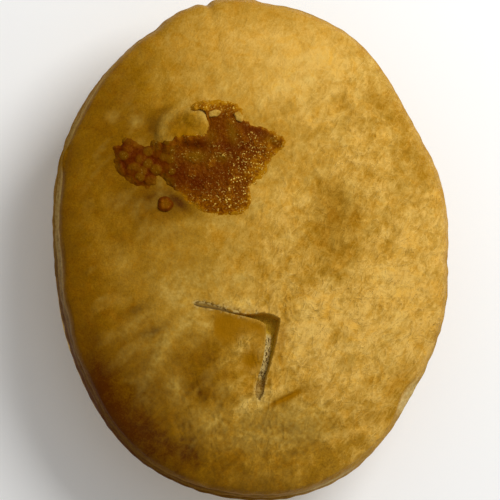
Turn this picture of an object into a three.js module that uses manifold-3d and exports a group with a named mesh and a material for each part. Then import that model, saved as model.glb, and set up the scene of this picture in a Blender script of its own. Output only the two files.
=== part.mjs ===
// An oval hand-sized pie, baked through: a tapered pastry base, a domed top crust with a corner-shaped steam
// slit, and cheese that boiled out of a second vent and browned. Millimetres, +Z up, +Y along the pie. The
// origin is under the middle of the pie, on the surface that it stands on.

import * as THREE from "three";
import { ConvexGeometry } from "three/addons/geometries/ConvexGeometry.js";
import { mergeVertices } from "three/addons/utils/BufferGeometryUtils.js";
import Module from "manifold-3d";

// Whole pie
const PIE_LENGTH = 126; // along Y, across the cut edge of the top crust
const PIE_WIDTH = 100;
const SEAM_HEIGHT = 25.5; // from the table to the seam between base and top crust
const SEAM_GAP = 0.3;
const SPOKES = 108; // points round every ring

// Outline: an oval with shallow waves, where share is a part of the radius and crest is in degrees from +X
const OUTLINE_WAVES = [
  { count: 2, share: 0.0088, crest: 122 },
  { count: 3, share: 0.0063, crest: 7 },
  { count: 5, share: 0.0075, crest: 9 },
  { count: 6, share: 0.0022, crest: -5 },
  { count: 8, share: 0.0059, crest: 18 },
  { count: 9, share: 0.0032, crest: 20 },
  { count: 10, share: 0.002, crest: -13 },
];

// Base
const FOOT_INSET = 9.5; // how far the side stands in at the foot
const FOOT_ROUND = 3;
const FOOT_STEPS = 4;
const FOOT_WAVES = 0.3; // the foot takes this much of the outline's waves, as the tin was a plain oval
const RIM_DEPTH = 4.5; // upright band under the seam
const RIM_INSET = 0.7; // the band stands in from the top crust's edge
const RIM_LIP = 1.4; // the band stands out from the tapered side
const SIDE_ROWS = 4;
const SIDE_BELLY = 0.8;

// Top crust, measured from the seam
const CRUST_EDGE = 5; // height of the cut edge
const CRUST_CROWN = 6.5; // the middle stands this much higher than the edge
const CRUST_THICKNESS = 5.5; // at the middle
const CROWN_FULLNESS = 3;
const CROWN_SHOULDER = 0.6;
const CRUST_ROWS = 18;
const CRUST_ROW_CROWDING = 1.35; // rows lie closer together towards the edge
const EDGE_FLARE = 1.2; // the cut edge leans out towards the seam
const EDGE_WAVES = [
  { count: 3, share: 0.1, crest: 205 },
  { count: 7, share: 0.05, crest: 40 },
];
// Nicks in the cut edge: direction and half-width in degrees, depth in millimetres
const EDGE_NICKS = [
  { at: 100.5, halfWidth: 1.1, depth: 0.9 },
  { at: 114, halfWidth: 3, depth: 0.8 },
  { at: 86, halfWidth: 3, depth: 0.5 },
  { at: -3, halfWidth: 2, depth: 0.5 },
];
const EDGE_LAYERS = 3;
const LAYER_GROOVE = { mean: 0.25, wander: 0.2, count: 4 }; // deeper and shallower round the pie
const LAYER_DRIFT = { rise: 0.25, count: 5 }; // the layers' lines rise and fall round the pie
const HEAP_ROWS = 5;
const HEAP_START = 0.9; // share of the radius where the heap under the crust begins to rise
const HEAP_TOP = 0.35;

// Soft swellings and dips of the top crust: place, spread and rise
const SWELLINGS = [
  { x: 30, y: -21, spread: 11, rise: 0.7 },
  { x: 19, y: 5.5, spread: 7, rise: -0.5 },
  { x: 14, y: 43, spread: 9, rise: 0.5 },
  { x: -26, y: -5, spread: 10, rise: 0.5 },
  { x: -15, y: -33, spread: 8, rise: 0.6 },
  { x: 12, y: -46, spread: 8, rise: -0.4 },
  { x: 3, y: 7, spread: 8, rise: 0.4 },
];

// Steam slit: two cuts that meet in a corner, with the flap between them lifted
const SLIT_DEPTH = 3.6;
const SLIT_LEFT_END = new THREE.Vector2(-15.4, -15.7);
const SLIT_UPPER_BEND = new THREE.Vector2(-3.2, -17.2);
const SLIT_OUTER_CORNER = new THREE.Vector2(5.8, -18.6);
const SLIT_RIGHT_BEND = new THREE.Vector2(4, -29.4);
const SLIT_LOWER_END = new THREE.Vector2(1, -39);
const SLIT_FLAP_SIDE_BEND = new THREE.Vector2(1.5, -29.4);
const SLIT_FLAP_CORNER = new THREE.Vector2(2.1, -20.8);
const SLIT_FLAP_TOP_BEND = new THREE.Vector2(-5, -18.5);
const SLIT_CURVE_STEPS = 4;
const SLIT_FLAP_LIFT = 1.2;

// Vent flap: half a blister of crust, open along its straight front
const VENT_MIDDLE = new THREE.Vector2(-18.5, 25.6);
const VENT_HALF_WIDTH = 6.7;
const VENT_REACH = 7.8;
const VENT_RISE = 2.2;
const VENT_SIDES = 24;

// Cheese: soft-edged pools run together; radii in millimetres, turn in degrees
const CHEESE_DEPTH = 1.5;
const CHEESE_GAP = 0.3;
const CHEESE_EDGE_STEEPNESS = 5;
const CHEESE_MERGE = 3; // a higher number keeps the pools' own outlines
const CHEESE_SPACING = 1.15;
const CHEESE_SINK = 1.2; // how far the sheet dips under the crust outside its outline
const CHEESE_MARGIN = 1.3; // the sheet reaches this many pool radii from a pool's middle
const CHEESE_POOLS = [
  { x: -9, y: 20.6, along: 9.6, across: 6.9, turn: 0 },
  { x: -9.8, y: 12.4, along: 8.4, across: 5.4, turn: -18 },
  { x: 2, y: 24.8, along: 5.4, across: 3.5, turn: -22 },
  { x: -7.1, y: 28, along: 4.9, across: 4.8, turn: 0 },
  { x: -30.3, y: 20.8, along: 5.2, across: 4.3, turn: -20 },
  { x: -23.4, y: 20, along: 5.6, across: 4.8, turn: 0 },
  { x: -9.1, y: 33.8, along: 6.4, across: 1.7, turn: -5 },
  { x: -14.1, y: 34.3, along: 2.6, across: 1, turn: 10 },
  { x: -0.2, y: 19, along: 4.2, across: 3.8, turn: 40 },
  { x: -26.9, y: 15.5, along: 2.4, across: 2.2, turn: 0 },
  { x: -4.2, y: 10, along: 3, across: 2.6, turn: 0 },
  { x: -19.7, y: 15.4, along: 4.4, across: 2.6, turn: -40 },
];
const BUBBLE_COUNT = 46;
const BUBBLE_RADIUS = { smallest: 1.1, largest: 2.6 };
const BUBBLE_RISE = 0.4; // share of a bubble's radius
const BUBBLE_FADE = 4; // a higher number brings the bubbles closer to the cheese's edge
const BUBBLE_SEED = 7;

// Drop: one bead of cheese apart from the rest
const DROP_PLACE = new THREE.Vector2(-22.6, 8.9);
const DROP_RADIUS = 2;
const DROP_RISE = 1.3;
const DROP_SIDES = 20;
const DROP_ROWS = 10;

// Finishes
const CRUST_COLOUR = 0xbe923a;
const CRUST_ROUGHNESS = 0.7;
const BASE_COLOUR = 0xb08540;
const BASE_ROUGHNESS = 0.8;
const CHEESE_COLOUR = 0x6e3a06;
const DROP_COLOUR = 0x8a5208;
const CHEESE_ROUGHNESS = 0.35;

const WELD_DISTANCE = 1e-5; // points closer than this are one point

const wasm = await Module();
wasm.setup();

const { clamp, degToRad, lerp, smoothstep } = THREE.MathUtils;

// A fixed sequence of numbers from 0 to 1, the same on every run
function seededDraw(seed) {
  let state = seed;
  return () => {
    state = (state + 0x6d2b79f5) | 0;
    let mixed = Math.imul(state ^ (state >>> 15), 1 | state);
    mixed = (mixed + Math.imul(mixed ^ (mixed >>> 7), 61 | mixed)) ^ mixed;
    return ((mixed ^ (mixed >>> 14)) >>> 0) / 2 ** 32;
  };
}

// The pie's outline and the crust's height

function bell(distance, spread) {
  return Math.exp(-((distance / spread) ** 2));
}

function turnBetween(first, second) {
  return Math.atan2(Math.sin(first - second), Math.cos(first - second));
}

function waveShare(waves, angle) {
  let sum = 0;
  for (const wave of waves) {
    sum += wave.share * Math.cos(wave.count * (angle - degToRad(wave.crest)));
  }
  return sum;
}

function outlineRadius(angle, waviness = 1) {
  const oval = 1 / Math.hypot((2 * Math.cos(angle)) / PIE_WIDTH, (2 * Math.sin(angle)) / PIE_LENGTH);
  return oval * (1 + waviness * waveShare(OUTLINE_WAVES, angle));
}

function crustRadius(angle) {
  let radius = outlineRadius(angle);
  for (const nick of EDGE_NICKS) {
    radius -= nick.depth * bell(turnBetween(angle, degToRad(nick.at)), degToRad(nick.halfWidth));
  }
  return radius;
}

function edgeHeight(angle) {
  return CRUST_EDGE * (1 + waveShare(EDGE_WAVES, angle));
}

function crustTop(x, y) {
  const angle = Math.atan2(y, x);
  const share = clamp(Math.hypot(x, y) / (crustRadius(angle) - EDGE_FLARE), 0, 1);
  const dome = (1 - share ** CROWN_FULLNESS) ** CROWN_SHOULDER;
  let height = lerp(edgeHeight(angle), CRUST_EDGE + CRUST_CROWN, dome);
  for (const swelling of SWELLINGS) {
    height += swelling.rise * dome * bell(Math.hypot(x - swelling.x, y - swelling.y), swelling.spread);
  }
  return height;
}

// Height over the seam of the heaped filling, which the crust lies on
function heapTop(share) {
  const fullRise = CRUST_EDGE + CRUST_CROWN - CRUST_THICKNESS;
  return fullRise * (1 - smoothstep(share, HEAP_TOP, HEAP_START));
}

// Closed skins from rings and grids of points

function ring(radiusAt, heightAt) {
  const points = [];
  for (let spoke = 0; spoke < SPOKES; spoke += 1) {
    const angle = (spoke / SPOKES) * 2 * Math.PI;
    const radius = radiusAt(angle);
    const x = radius * Math.cos(angle);
    const y = radius * Math.sin(angle);
    points.push(new THREE.Vector3(x, y, heightAt(angle, x, y)));
  }
  return points;
}

function indexedGeometry(points, triangles) {
  const geometry = new THREE.BufferGeometry().setFromPoints(points);
  geometry.setIndex(triangles);
  return geometry;
}

// Rings run from the middle of the underside outwards, up the side and inwards over the top
function skinOverRings(rings, lowerMiddle, upperMiddle) {
  const points = [lowerMiddle, ...rings.flat(), upperMiddle];
  const pointOf = (row, spoke) => 1 + row * SPOKES + (spoke % SPOKES);
  const lastRow = rings.length - 1;
  const triangles = [];
  for (let spoke = 0; spoke < SPOKES; spoke += 1) {
    triangles.push(0, pointOf(0, spoke + 1), pointOf(0, spoke));
    for (let row = 0; row < lastRow; row += 1) {
      const [near, nearNext] = [pointOf(row, spoke), pointOf(row, spoke + 1)];
      const [far, farNext] = [pointOf(row + 1, spoke), pointOf(row + 1, spoke + 1)];
      triangles.push(near, nearNext, farNext, near, farNext, far);
    }
    triangles.push(points.length - 1, pointOf(lastRow, spoke), pointOf(lastRow, spoke + 1));
  }
  return indexedGeometry(points, triangles);
}

// A closed sheet over a rectangle, between two heights given at each point
function sheetOverGrid(box, spacing, lowerAt, upperAt) {
  const columns = Math.ceil((box.max.x - box.min.x) / spacing);
  const rows = Math.ceil((box.max.y - box.min.y) / spacing);
  const layer = (columns + 1) * (rows + 1);
  const points = [];
  for (const heightAt of [lowerAt, upperAt]) {
    for (let row = 0; row <= rows; row += 1) {
      for (let column = 0; column <= columns; column += 1) {
        const x = box.min.x + column * spacing;
        const y = box.min.y + row * spacing;
        points.push(new THREE.Vector3(x, y, heightAt(x, y)));
      }
    }
  }
  const pointOf = (column, row, level) => level * layer + row * (columns + 1) + column;
  const triangles = [];
  const addQuad = (first, second, third, fourth) => {
    triangles.push(first, second, third, first, third, fourth);
  };
  for (let row = 0; row < rows; row += 1) {
    for (let column = 0; column < columns; column += 1) {
      const corners = [[column, row], [column + 1, row], [column + 1, row + 1], [column, row + 1]];
      addQuad(...corners.map(([across, up]) => pointOf(across, up, 1)));
      addQuad(...corners.reverse().map(([across, up]) => pointOf(across, up, 0)));
    }
  }
  const addWall = (from, to) => {
    addQuad(pointOf(...from, 0), pointOf(...to, 0), pointOf(...to, 1), pointOf(...from, 1));
  };
  for (let column = 0; column < columns; column += 1) {
    addWall([column, 0], [column + 1, 0]);
    addWall([column + 1, rows], [column, rows]);
  }
  for (let row = 0; row < rows; row += 1) {
    addWall([columns, row], [columns, row + 1]);
    addWall([0, row + 1], [0, row]);
  }
  return indexedGeometry(points, triangles);
}

// Joining and cutting

function solidFrom(geometry) {
  const bare = geometry.clone();
  bare.deleteAttribute("normal");
  bare.deleteAttribute("uv");
  const merged = mergeVertices(bare, WELD_DISTANCE);
  const mesh = new wasm.Mesh({
    numProp: 3,
    vertProperties: new Float32Array(merged.attributes.position.array),
    triVerts: new Uint32Array(merged.index.array),
  });
  return new wasm.Manifold(mesh);
}

function geometryFrom(solid) {
  const mesh = solid.getMesh();
  const geometry = new THREE.BufferGeometry();
  geometry.setAttribute("position", new THREE.BufferAttribute(mesh.vertProperties, 3));
  geometry.setIndex(new THREE.BufferAttribute(mesh.triVerts, 1));
  geometry.computeVertexNormals();
  return geometry;
}

function largestPiece(solid) {
  const pieces = solid.decompose();
  return pieces.reduce((largest, piece) => (piece.volume() > largest.volume() ? piece : largest));
}

// Base: flat foot, rounded corner, tapered side, upright rim band, heaped top

function heapRings(lift) {
  const rings = [];
  for (let row = HEAP_ROWS; row > 0; row -= 1) {
    const share = row / (HEAP_ROWS + 1);
    const height = heapTop(share) + lift;
    rings.push(ring((angle) => share * (outlineRadius(angle) - RIM_INSET), () => height));
  }
  return rings;
}

function baseRing(inset, height) {
  const waviness = lerp(FOOT_WAVES, 1, height / SEAM_HEIGHT);
  return ring((angle) => outlineRadius(angle, waviness) - inset, () => height);
}

function baseGeometry() {
  const rings = [];
  for (let step = 0; step <= FOOT_STEPS; step += 1) {
    const turn = (step / FOOT_STEPS) * (Math.PI / 2);
    rings.push(baseRing(FOOT_INSET + FOOT_ROUND * (1 - Math.sin(turn)), FOOT_ROUND * (1 - Math.cos(turn))));
  }
  const bandFoot = SEAM_HEIGHT - RIM_DEPTH;
  for (let row = 1; row <= SIDE_ROWS; row += 1) {
    const share = row / SIDE_ROWS;
    const taper = lerp(FOOT_INSET, RIM_INSET + RIM_LIP, share);
    const belly = SIDE_BELLY * Math.sin(Math.PI * share);
    rings.push(baseRing(taper - belly, lerp(FOOT_ROUND, bandFoot - RIM_LIP, share)));
  }
  rings.push(baseRing(RIM_INSET, bandFoot), baseRing(RIM_INSET, SEAM_HEIGHT));
  rings.push(...heapRings(SEAM_HEIGHT));
  const heapMiddle = new THREE.Vector3(0, 0, SEAM_HEIGHT + heapTop(0));
  return skinOverRings(rings, new THREE.Vector3(0, 0, 0), heapMiddle);
}

// Top crust: underside over the heap, layered cut edge, domed top

function edgeRing(share, outwards, line) {
  const radiusAt = (angle) => {
    const groove = LAYER_GROOVE.mean + LAYER_GROOVE.wander * Math.cos(LAYER_GROOVE.count * angle + line);
    return crustRadius(angle) - EDGE_FLARE * share + outwards * groove;
  };
  const heightAt = (angle) => {
    const drift = LAYER_DRIFT.rise * Math.sin(LAYER_DRIFT.count * angle + line) * (1 - share);
    return lerp(SEAM_GAP, edgeHeight(angle), share) + (share > 0 ? drift : 0);
  };
  return ring(radiusAt, heightAt);
}

// Puffed layers of pastry stand out between the lines that part them
function edgeRings() {
  const rings = [edgeRing(0, -1, 0)];
  for (let layer = 1; layer <= EDGE_LAYERS; layer += 1) {
    rings.push(edgeRing((layer - 0.5) / EDGE_LAYERS, 1, layer));
    if (layer < EDGE_LAYERS) {
      rings.push(edgeRing(layer / EDGE_LAYERS, -1, layer));
    }
  }
  return rings;
}

function bareCrustGeometry() {
  const rings = [...heapRings(SEAM_GAP).reverse(), ...edgeRings()];
  for (let row = CRUST_ROWS; row > 0; row -= 1) {
    const share = 1 - (1 - row / CRUST_ROWS) ** CRUST_ROW_CROWDING;
    rings.push(ring((angle) => share * (crustRadius(angle) - EDGE_FLARE), (angle, x, y) => crustTop(x, y)));
  }
  const lowerMiddle = new THREE.Vector3(0, 0, heapTop(0) + SEAM_GAP);
  return skinOverRings(rings, lowerMiddle, new THREE.Vector3(0, 0, crustTop(0, 0)));
}

// The cutter for the slit: a thin corner-shaped prism, open above the crust
function slitGeometry() {
  const outline = new THREE.Shape();
  outline.moveTo(SLIT_LEFT_END.x, SLIT_LEFT_END.y);
  outline.quadraticCurveTo(
    SLIT_FLAP_TOP_BEND.x, SLIT_FLAP_TOP_BEND.y, SLIT_FLAP_CORNER.x, SLIT_FLAP_CORNER.y,
  );
  outline.quadraticCurveTo(
    SLIT_FLAP_SIDE_BEND.x, SLIT_FLAP_SIDE_BEND.y, SLIT_LOWER_END.x, SLIT_LOWER_END.y,
  );
  outline.quadraticCurveTo(
    SLIT_RIGHT_BEND.x, SLIT_RIGHT_BEND.y, SLIT_OUTER_CORNER.x, SLIT_OUTER_CORNER.y,
  );
  outline.quadraticCurveTo(SLIT_UPPER_BEND.x, SLIT_UPPER_BEND.y, SLIT_LEFT_END.x, SLIT_LEFT_END.y);
  const cutter = new THREE.ExtrudeGeometry(outline, {
    depth: 2 * SLIT_DEPTH,
    bevelEnabled: false,
    curveSegments: SLIT_CURVE_STEPS,
  });
  return cutter.translate(0, 0, crustTop(SLIT_FLAP_CORNER.x, SLIT_FLAP_CORNER.y) - SLIT_DEPTH);
}

// The wedge that lifts the slit's flap at its free corner
function slitFlapGeometry() {
  const points = [];
  for (const corner of [SLIT_LEFT_END, SLIT_LOWER_END, SLIT_FLAP_CORNER]) {
    const lift = corner === SLIT_FLAP_CORNER ? SLIT_FLAP_LIFT : 0;
    const top = crustTop(corner.x, corner.y) + lift;
    points.push(new THREE.Vector3(corner.x, corner.y, top));
    points.push(new THREE.Vector3(corner.x, corner.y, top - SLIT_DEPTH));
  }
  return new ConvexGeometry(points);
}

// The vent flap: the half of a flattened ball that lies behind its straight front
function ventSolid() {
  const height = crustTop(VENT_MIDDLE.x, VENT_MIDDLE.y + VENT_REACH / 2);
  const ball = new THREE.SphereGeometry(1, VENT_SIDES, VENT_SIDES / 2);
  ball.scale(VENT_HALF_WIDTH, VENT_REACH, VENT_RISE);
  ball.translate(VENT_MIDDLE.x, VENT_MIDDLE.y, height);
  const front = new THREE.BoxGeometry(4 * VENT_HALF_WIDTH, 2 * VENT_REACH, 4 * VENT_RISE);
  front.translate(VENT_MIDDLE.x, VENT_MIDDLE.y - VENT_REACH, height);
  return solidFrom(ball).subtract(solidFrom(front));
}

function crustSolid() {
  const lifted = solidFrom(bareCrustGeometry()).add(solidFrom(slitFlapGeometry())).add(ventSolid());
  return largestPiece(lifted.subtract(solidFrom(slitGeometry())));
}

// Cheese: one sheet whose depth comes from the pools, with bubbles set in it, cut to sit on the crust

function poolStrength(x, y) {
  let sum = 0;
  for (const pool of CHEESE_POOLS) {
    const turn = degToRad(pool.turn);
    const [east, north] = [x - pool.x, y - pool.y];
    const along = (Math.cos(turn) * east + Math.sin(turn) * north) / pool.along;
    const across = (Math.cos(turn) * north - Math.sin(turn) * east) / pool.across;
    sum += Math.exp(-CHEESE_MERGE * (along ** 2 + across ** 2));
  }
  return sum ** (1 / CHEESE_MERGE) - Math.exp(-1);
}

function cheeseBox() {
  const box = new THREE.Box2();
  for (const pool of CHEESE_POOLS) {
    const reach = CHEESE_MARGIN * Math.max(pool.along, pool.across);
    box.expandByPoint(new THREE.Vector2(pool.x - reach, pool.y - reach));
    box.expandByPoint(new THREE.Vector2(pool.x + reach, pool.y + reach));
  }
  return box;
}

function placeBubbles(box) {
  const draw = seededDraw(BUBBLE_SEED);
  const bubbles = [];
  while (bubbles.length < BUBBLE_COUNT) {
    const x = lerp(box.min.x, box.max.x, draw());
    const y = lerp(box.min.y, box.max.y, draw());
    const radius = lerp(BUBBLE_RADIUS.smallest, BUBBLE_RADIUS.largest, draw() ** 2);
    if (poolStrength(x, y) > 0) {
      bubbles.push({ x, y, radius });
    }
  }
  return bubbles;
}

function cheeseSolid(crust) {
  const box = cheeseBox();
  const bubbles = placeBubbles(box);
  const depthAt = (x, y) => {
    const strength = poolStrength(x, y);
    if (strength < 0) {
      return Math.max(CHEESE_DEPTH * CHEESE_EDGE_STEEPNESS * strength, -CHEESE_SINK);
    }
    const fade = Math.min(1, BUBBLE_FADE * strength);
    let depth = CHEESE_DEPTH * (1 - Math.exp(-CHEESE_EDGE_STEEPNESS * strength));
    for (const bubble of bubbles) {
      const away = Math.hypot(x - bubble.x, y - bubble.y) / bubble.radius;
      depth += fade * BUBBLE_RISE * bubble.radius * Math.sqrt(Math.max(0, 1 - away ** 2));
    }
    return depth;
  };
  const sheet = sheetOverGrid(
    box,
    CHEESE_SPACING,
    (x, y) => crustTop(x, y) - 2 * CHEESE_SINK,
    (x, y) => crustTop(x, y) + CHEESE_GAP + depthAt(x, y),
  );
  return largestPiece(solidFrom(sheet).subtract(crust.translate([0, 0, CHEESE_GAP])));
}

function dropSolid(crust) {
  const ball = new THREE.SphereGeometry(1, DROP_SIDES, DROP_ROWS);
  ball.scale(DROP_RADIUS, DROP_RADIUS, DROP_RISE);
  ball.translate(DROP_PLACE.x, DROP_PLACE.y, crustTop(DROP_PLACE.x, DROP_PLACE.y) + CHEESE_GAP);
  return largestPiece(solidFrom(ball).subtract(crust.translate([0, 0, CHEESE_GAP])));
}

// Scene graph

function namedMesh(name, geometry, color, roughness) {
  const mesh = new THREE.Mesh(geometry, new THREE.MeshStandardMaterial({ color, roughness, metalness: 0 }));
  mesh.name = name;
  return mesh;
}

const crust = crustSolid();
const crustGroup = new THREE.Group();
crustGroup.position.z = SEAM_HEIGHT;
crustGroup.add(
  namedMesh("top_crust", geometryFrom(crust), CRUST_COLOUR, CRUST_ROUGHNESS),
  namedMesh("leaked_cheese", geometryFrom(cheeseSolid(crust)), CHEESE_COLOUR, CHEESE_ROUGHNESS),
  namedMesh("cheese_drop", geometryFrom(dropSolid(crust)), DROP_COLOUR, CHEESE_ROUGHNESS),
);

const centredGroup = new THREE.Group();
centredGroup.add(namedMesh("pie_base", baseGeometry(), BASE_COLOUR, BASE_ROUGHNESS), crustGroup);
const middle = new THREE.Box3().setFromObject(centredGroup).getCenter(new THREE.Vector3());
centredGroup.position.set(-middle.x, -middle.y, 0);

const pie = new THREE.Group();
pie.add(centredGroup);

export default pie;
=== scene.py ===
"""An oval savoury pie: baked pastry, a steam slit with a lifted flap, and cheese that boiled out and browned.

Every surface is worked out with numpy in millimetres, from the same sizes as the solids, and goes into its
mesh in metres. Run as a script, the file builds the pie and the stage that it stands on.
"""

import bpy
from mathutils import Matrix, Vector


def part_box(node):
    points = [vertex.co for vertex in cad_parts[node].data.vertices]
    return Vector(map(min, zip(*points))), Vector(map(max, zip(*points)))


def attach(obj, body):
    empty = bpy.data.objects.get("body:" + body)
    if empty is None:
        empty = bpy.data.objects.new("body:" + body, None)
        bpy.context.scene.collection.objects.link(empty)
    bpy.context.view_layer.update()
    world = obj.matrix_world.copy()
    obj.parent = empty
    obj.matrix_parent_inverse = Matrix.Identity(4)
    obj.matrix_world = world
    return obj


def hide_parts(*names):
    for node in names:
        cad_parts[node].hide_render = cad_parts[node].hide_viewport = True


bl_info = {
    "name": "Oval Savoury Pie",
    "version": (1, 0, 0),
    "blender": (4, 5, 0),
    "location": "3D View > Sidebar > Pie",
    "description": "Builds an oval pie with baked pastry, a steam slit and browned cheese",
    "category": "Object",
}

import math

import bpy
import numpy as np
from bpy.props import FloatProperty, FloatVectorProperty, PointerProperty
from mathutils import Matrix, Vector

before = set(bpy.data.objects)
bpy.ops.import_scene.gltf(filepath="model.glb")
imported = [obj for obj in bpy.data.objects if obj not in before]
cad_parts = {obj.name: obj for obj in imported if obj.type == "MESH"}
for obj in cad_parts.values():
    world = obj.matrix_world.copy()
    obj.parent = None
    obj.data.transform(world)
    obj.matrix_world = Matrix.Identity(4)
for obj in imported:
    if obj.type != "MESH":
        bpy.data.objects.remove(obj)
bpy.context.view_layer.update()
MM = 0.001
BODY = "root"

# The whole pie, in millimetres, as the solids have it
PIE_LENGTH = 126.0
PIE_WIDTH = 100.0
SEAM_GAP = 0.3
SEAM_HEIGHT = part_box("top_crust")[0].z / MM - SEAM_GAP

# Waves round the outline: count, share of the radius, and direction of a crest in degrees from +X
OUTLINE_WAVES = (
    (2, 0.0088, 122), (3, 0.0063, 7), (5, 0.0075, 9), (6, 0.0022, -5),
    (8, 0.0059, 18), (9, 0.0032, 20), (10, 0.002, -13),
)
# Spokes of the solids' outline
SOLID_SPOKES = 108

# Base
FOOT_INSET = 9.5
FOOT_ROUND = 3.0
FOOT_WAVES = 0.3
RIM_DEPTH = 4.5
RIM_INSET = 0.7
RIM_LIP = 1.4
RIM_FOOT = SEAM_HEIGHT - RIM_DEPTH
SIDE_BELLY = 0.8
BASE_SPOKES = 480
# Rows of points in the foot, its rounding, the side, the lip, the rim band and the heap
FOOT_ROWS = 4
ROUNDING_ROWS = 8
SIDE_ROWS = 43
LIP_ROWS = 4
BAND_ROWS = 13
HEAP_ROWS = 8

# Top crust, measured from the seam
CRUST_EDGE = 5.0
CRUST_CROWN = 6.5
CRUST_THICKNESS = 5.5
CROWN_FULLNESS = 3
CROWN_SHOULDER = 0.6
HEAP_START = 0.9
HEAP_TOP = 0.35
UNDERSIDE_ROWS = 3

# Cut edge of the crust
EDGE_FLARE = 1.2
EDGE_WAVES = ((3, 0.1, 205), (7, 0.05, 40))
EDGE_LAYERS = 3
EDGE_ROWS = 10
# Marks round the edge: direction and half-width in degrees, and size or strength. In turn they are
# nicks, ledges where the skin stops short of the edge, darkening on the shaded side (browning and painted
# shade), crumb, and a pale line halfway up that is a painted highlight
EDGE_NICKS = ((100.5, 1.1, 0.9), (114, 3, 0.8), (86, 3, 0.5), (-3, 2, 0.5))
EDGE_LEDGES = (
    (-44.5, 5, 1.6), (-66, 10, 0.5), (141, 6, 0.5), (156, 3.5, -0.9), (163, 8, 0.35), (186, 7, 0.55),
    (203, 4, 0.6), (222, 9, 0.3),
)
EDGE_BROWN_AND_SHADE = ((150, 35, 0.25), (190, 22, 0.20), (228, 36, 0.55), (268, 25, 0.20))
EDGE_CRUMB = ((-43.5, 4.5, 1.6), (156, 4, -0.5), (168, 34, 0.45))
EDGE_HIGHLIGHT = ((-72, 8, 1.0),)

# Swellings and dips of the crust: place, spread and rise
SWELLINGS = (
    (30, -21, 11, 0.7), (19, 5.5, 7, -0.5), (14, 43, 9, 0.5), (-26, -5, 10, 0.5),
    (-15, -33, 8, 0.6), (12, -46, 8, -0.4), (3, 7, 8, 0.4),
)

# Soft folds of the crust: both ends, half-width and rise
FOLDS = (
    (-14, -17.5, -20.5, -22.5, 1.3, 0.30), (-20.5, -22.5, -24.8, -31, 1.3, 0.35),
    (-26.5, -18, -33, -23.5, 1.1, 0.22), (-20, -33, -19.6, -41, 1.3, 0.22),
    (-15.5, -18.5, -11.5, -22, 1.0, 0.20), (0.6, -22.1, -7.5, -29.6, 1.6, 0.25),
    (4.3, -39.9, 11.2, -36.4, 0.45, -0.70), (13, 41.4, 24.9, 41.6, 0.5, 0.10),
    (6.5, 42.6, 12, 43.8, 0.5, 0.12),
)

# Grid of the crust's top: spacing of its lines, and strips round the slit and the vent flap where
# they lie closer together, each with its start, end and spacing, and a fade on both sides
GRID_SPACING = 0.52
SLIT_SPACING = 0.16
VENT_SPACING = 0.28
CLOSE_COLUMNS = ((-0.6, 8.4, SLIT_SPACING), (-26.0, -11.5, VENT_SPACING))
CLOSE_ROWS = ((-21.8, -14.6, SLIT_SPACING), (24.5, 34.0, VENT_SPACING))
STRIP_FADE = 3.0
STRIP_SAMPLES = 8001

# Steam slit: two cuts that meet in a corner. Every second place on a side is the bend of a curve between its
# neighbours. Grid points within the box are tested, and those nearer to a side than the snap move onto it
SLIT_DEPTH = 3.6
SLIT_LEFT_END = (-15.6, -15.7)
SLIT_LOWER_END = (1.0, -39.0)
SLIT_FLAP_CORNER = (2.2, -20.6)
SLIT_FLAP_SIDE = (
    SLIT_LEFT_END, (-15.2, -16.5), (-12.5, -16.7), (-8.5, -17.3), (-4.0, -18.5), (0.8, -19.3),
    SLIT_FLAP_CORNER, (2.4, -25.0), (1.2, -31.0), (-0.4, -36.0), (-0.1, -37.0), (0.2, -38.7), SLIT_LOWER_END,
)
SLIT_LID_SIDE = (
    SLIT_LEFT_END, (-15.2, -14.7), (-12.5, -15.1), (-9.0, -15.8), (-6.2, -17.4), (-2.5, -18.4),
    (1.5, -17.5), (4.5, -17.7), (6.1, -19.0), (5.0, -26.0), (2.4, -34.5), (2.0, -38.4), SLIT_LOWER_END,
)
SLIT_FLAP_LIFT = 1.0
SLIT_WALL_WIDTH = 0.5
SLIT_FACE_WIDTH = 2.3
SLIT_BOX = ((-17.5, -41.0), (8.5, -13.5))
SLIT_SNAP = 0.55 * SLIT_SPACING
PORE_SIZE = 0.85
PORE_DEPTH = 0.45

# Vent flap: half a blister, open along its torn front. Waves of the front: radians for each millimetre,
# size and start
VENT_X = -18.5
VENT_FRONT = 25.6
VENT_HALF_WIDTH = 6.7
VENT_REACH = 7.8
VENT_RISE = 2.2
VENT_LOBE = 1.9
VENT_FRONT_WAVES = ((0.9, 0.35, 0.4), (2.3, 0.2, 1.1))
# Powers of its rounded left side and of its nearly square right side
VENT_ROUND = 2.6
VENT_SQUARE = 6.0

# Cheese: corners of its outline, once round
CHEESE_OUTLINE = (
    (-17.5, 32.5), (-15.4, 35.2), (-10.2, 35.6), (-5.0, 35.3), (-2.6, 33.4), (-3.7, 32.3), (-2.9, 30.7),
    (1.4, 29.1), (4.4, 27.8), (8.2, 25.8), (6.1, 22.7), (3.4, 20.9), (2.9, 18.2), (0.4, 14.9), (-2.0, 13.6),
    (-0.9, 11.4), (-1.9, 8.1), (-4.5, 6.6), (-9.0, 6.1), (-12.9, 6.4), (-15.3, 8.2), (-17.7, 10.0),
    (-19.9, 12.0), (-21.9, 13.6), (-23.2, 15.9), (-24.6, 15.7), (-25.2, 13.8), (-27.5, 12.6), (-29.9, 13.2),
    (-31.5, 14.4), (-34.5, 16.5), (-34.9, 20.0), (-35.9, 23.2), (-34.1, 24.5), (-31.7, 26.3), (-29.8, 24.3),
    (-27.2, 23.4), (-25.4, 25.0), (-23.9, 25.4), (-22.0, 25.8), (-20.1, 27.6), (-16.4, 28.0), (-12.9, 27.9),
    (-13.0, 29.1), (-13.3, 30.6), (-14.0, 31.1), (-15.7, 31.4),
)
CHEESE_DEPTH = 0.8
CHEESE_EDGE = 2.2
CHEESE_SKIRT = 0.75
CHEESE_SKIRT_WIDTH = 3.2
CHEESE_SPACING = 0.17
CHEESE_MARGIN = 0.6
CHEESE_FLOOR = 0.9
CHEESE_RAGGED = 0.6
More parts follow.
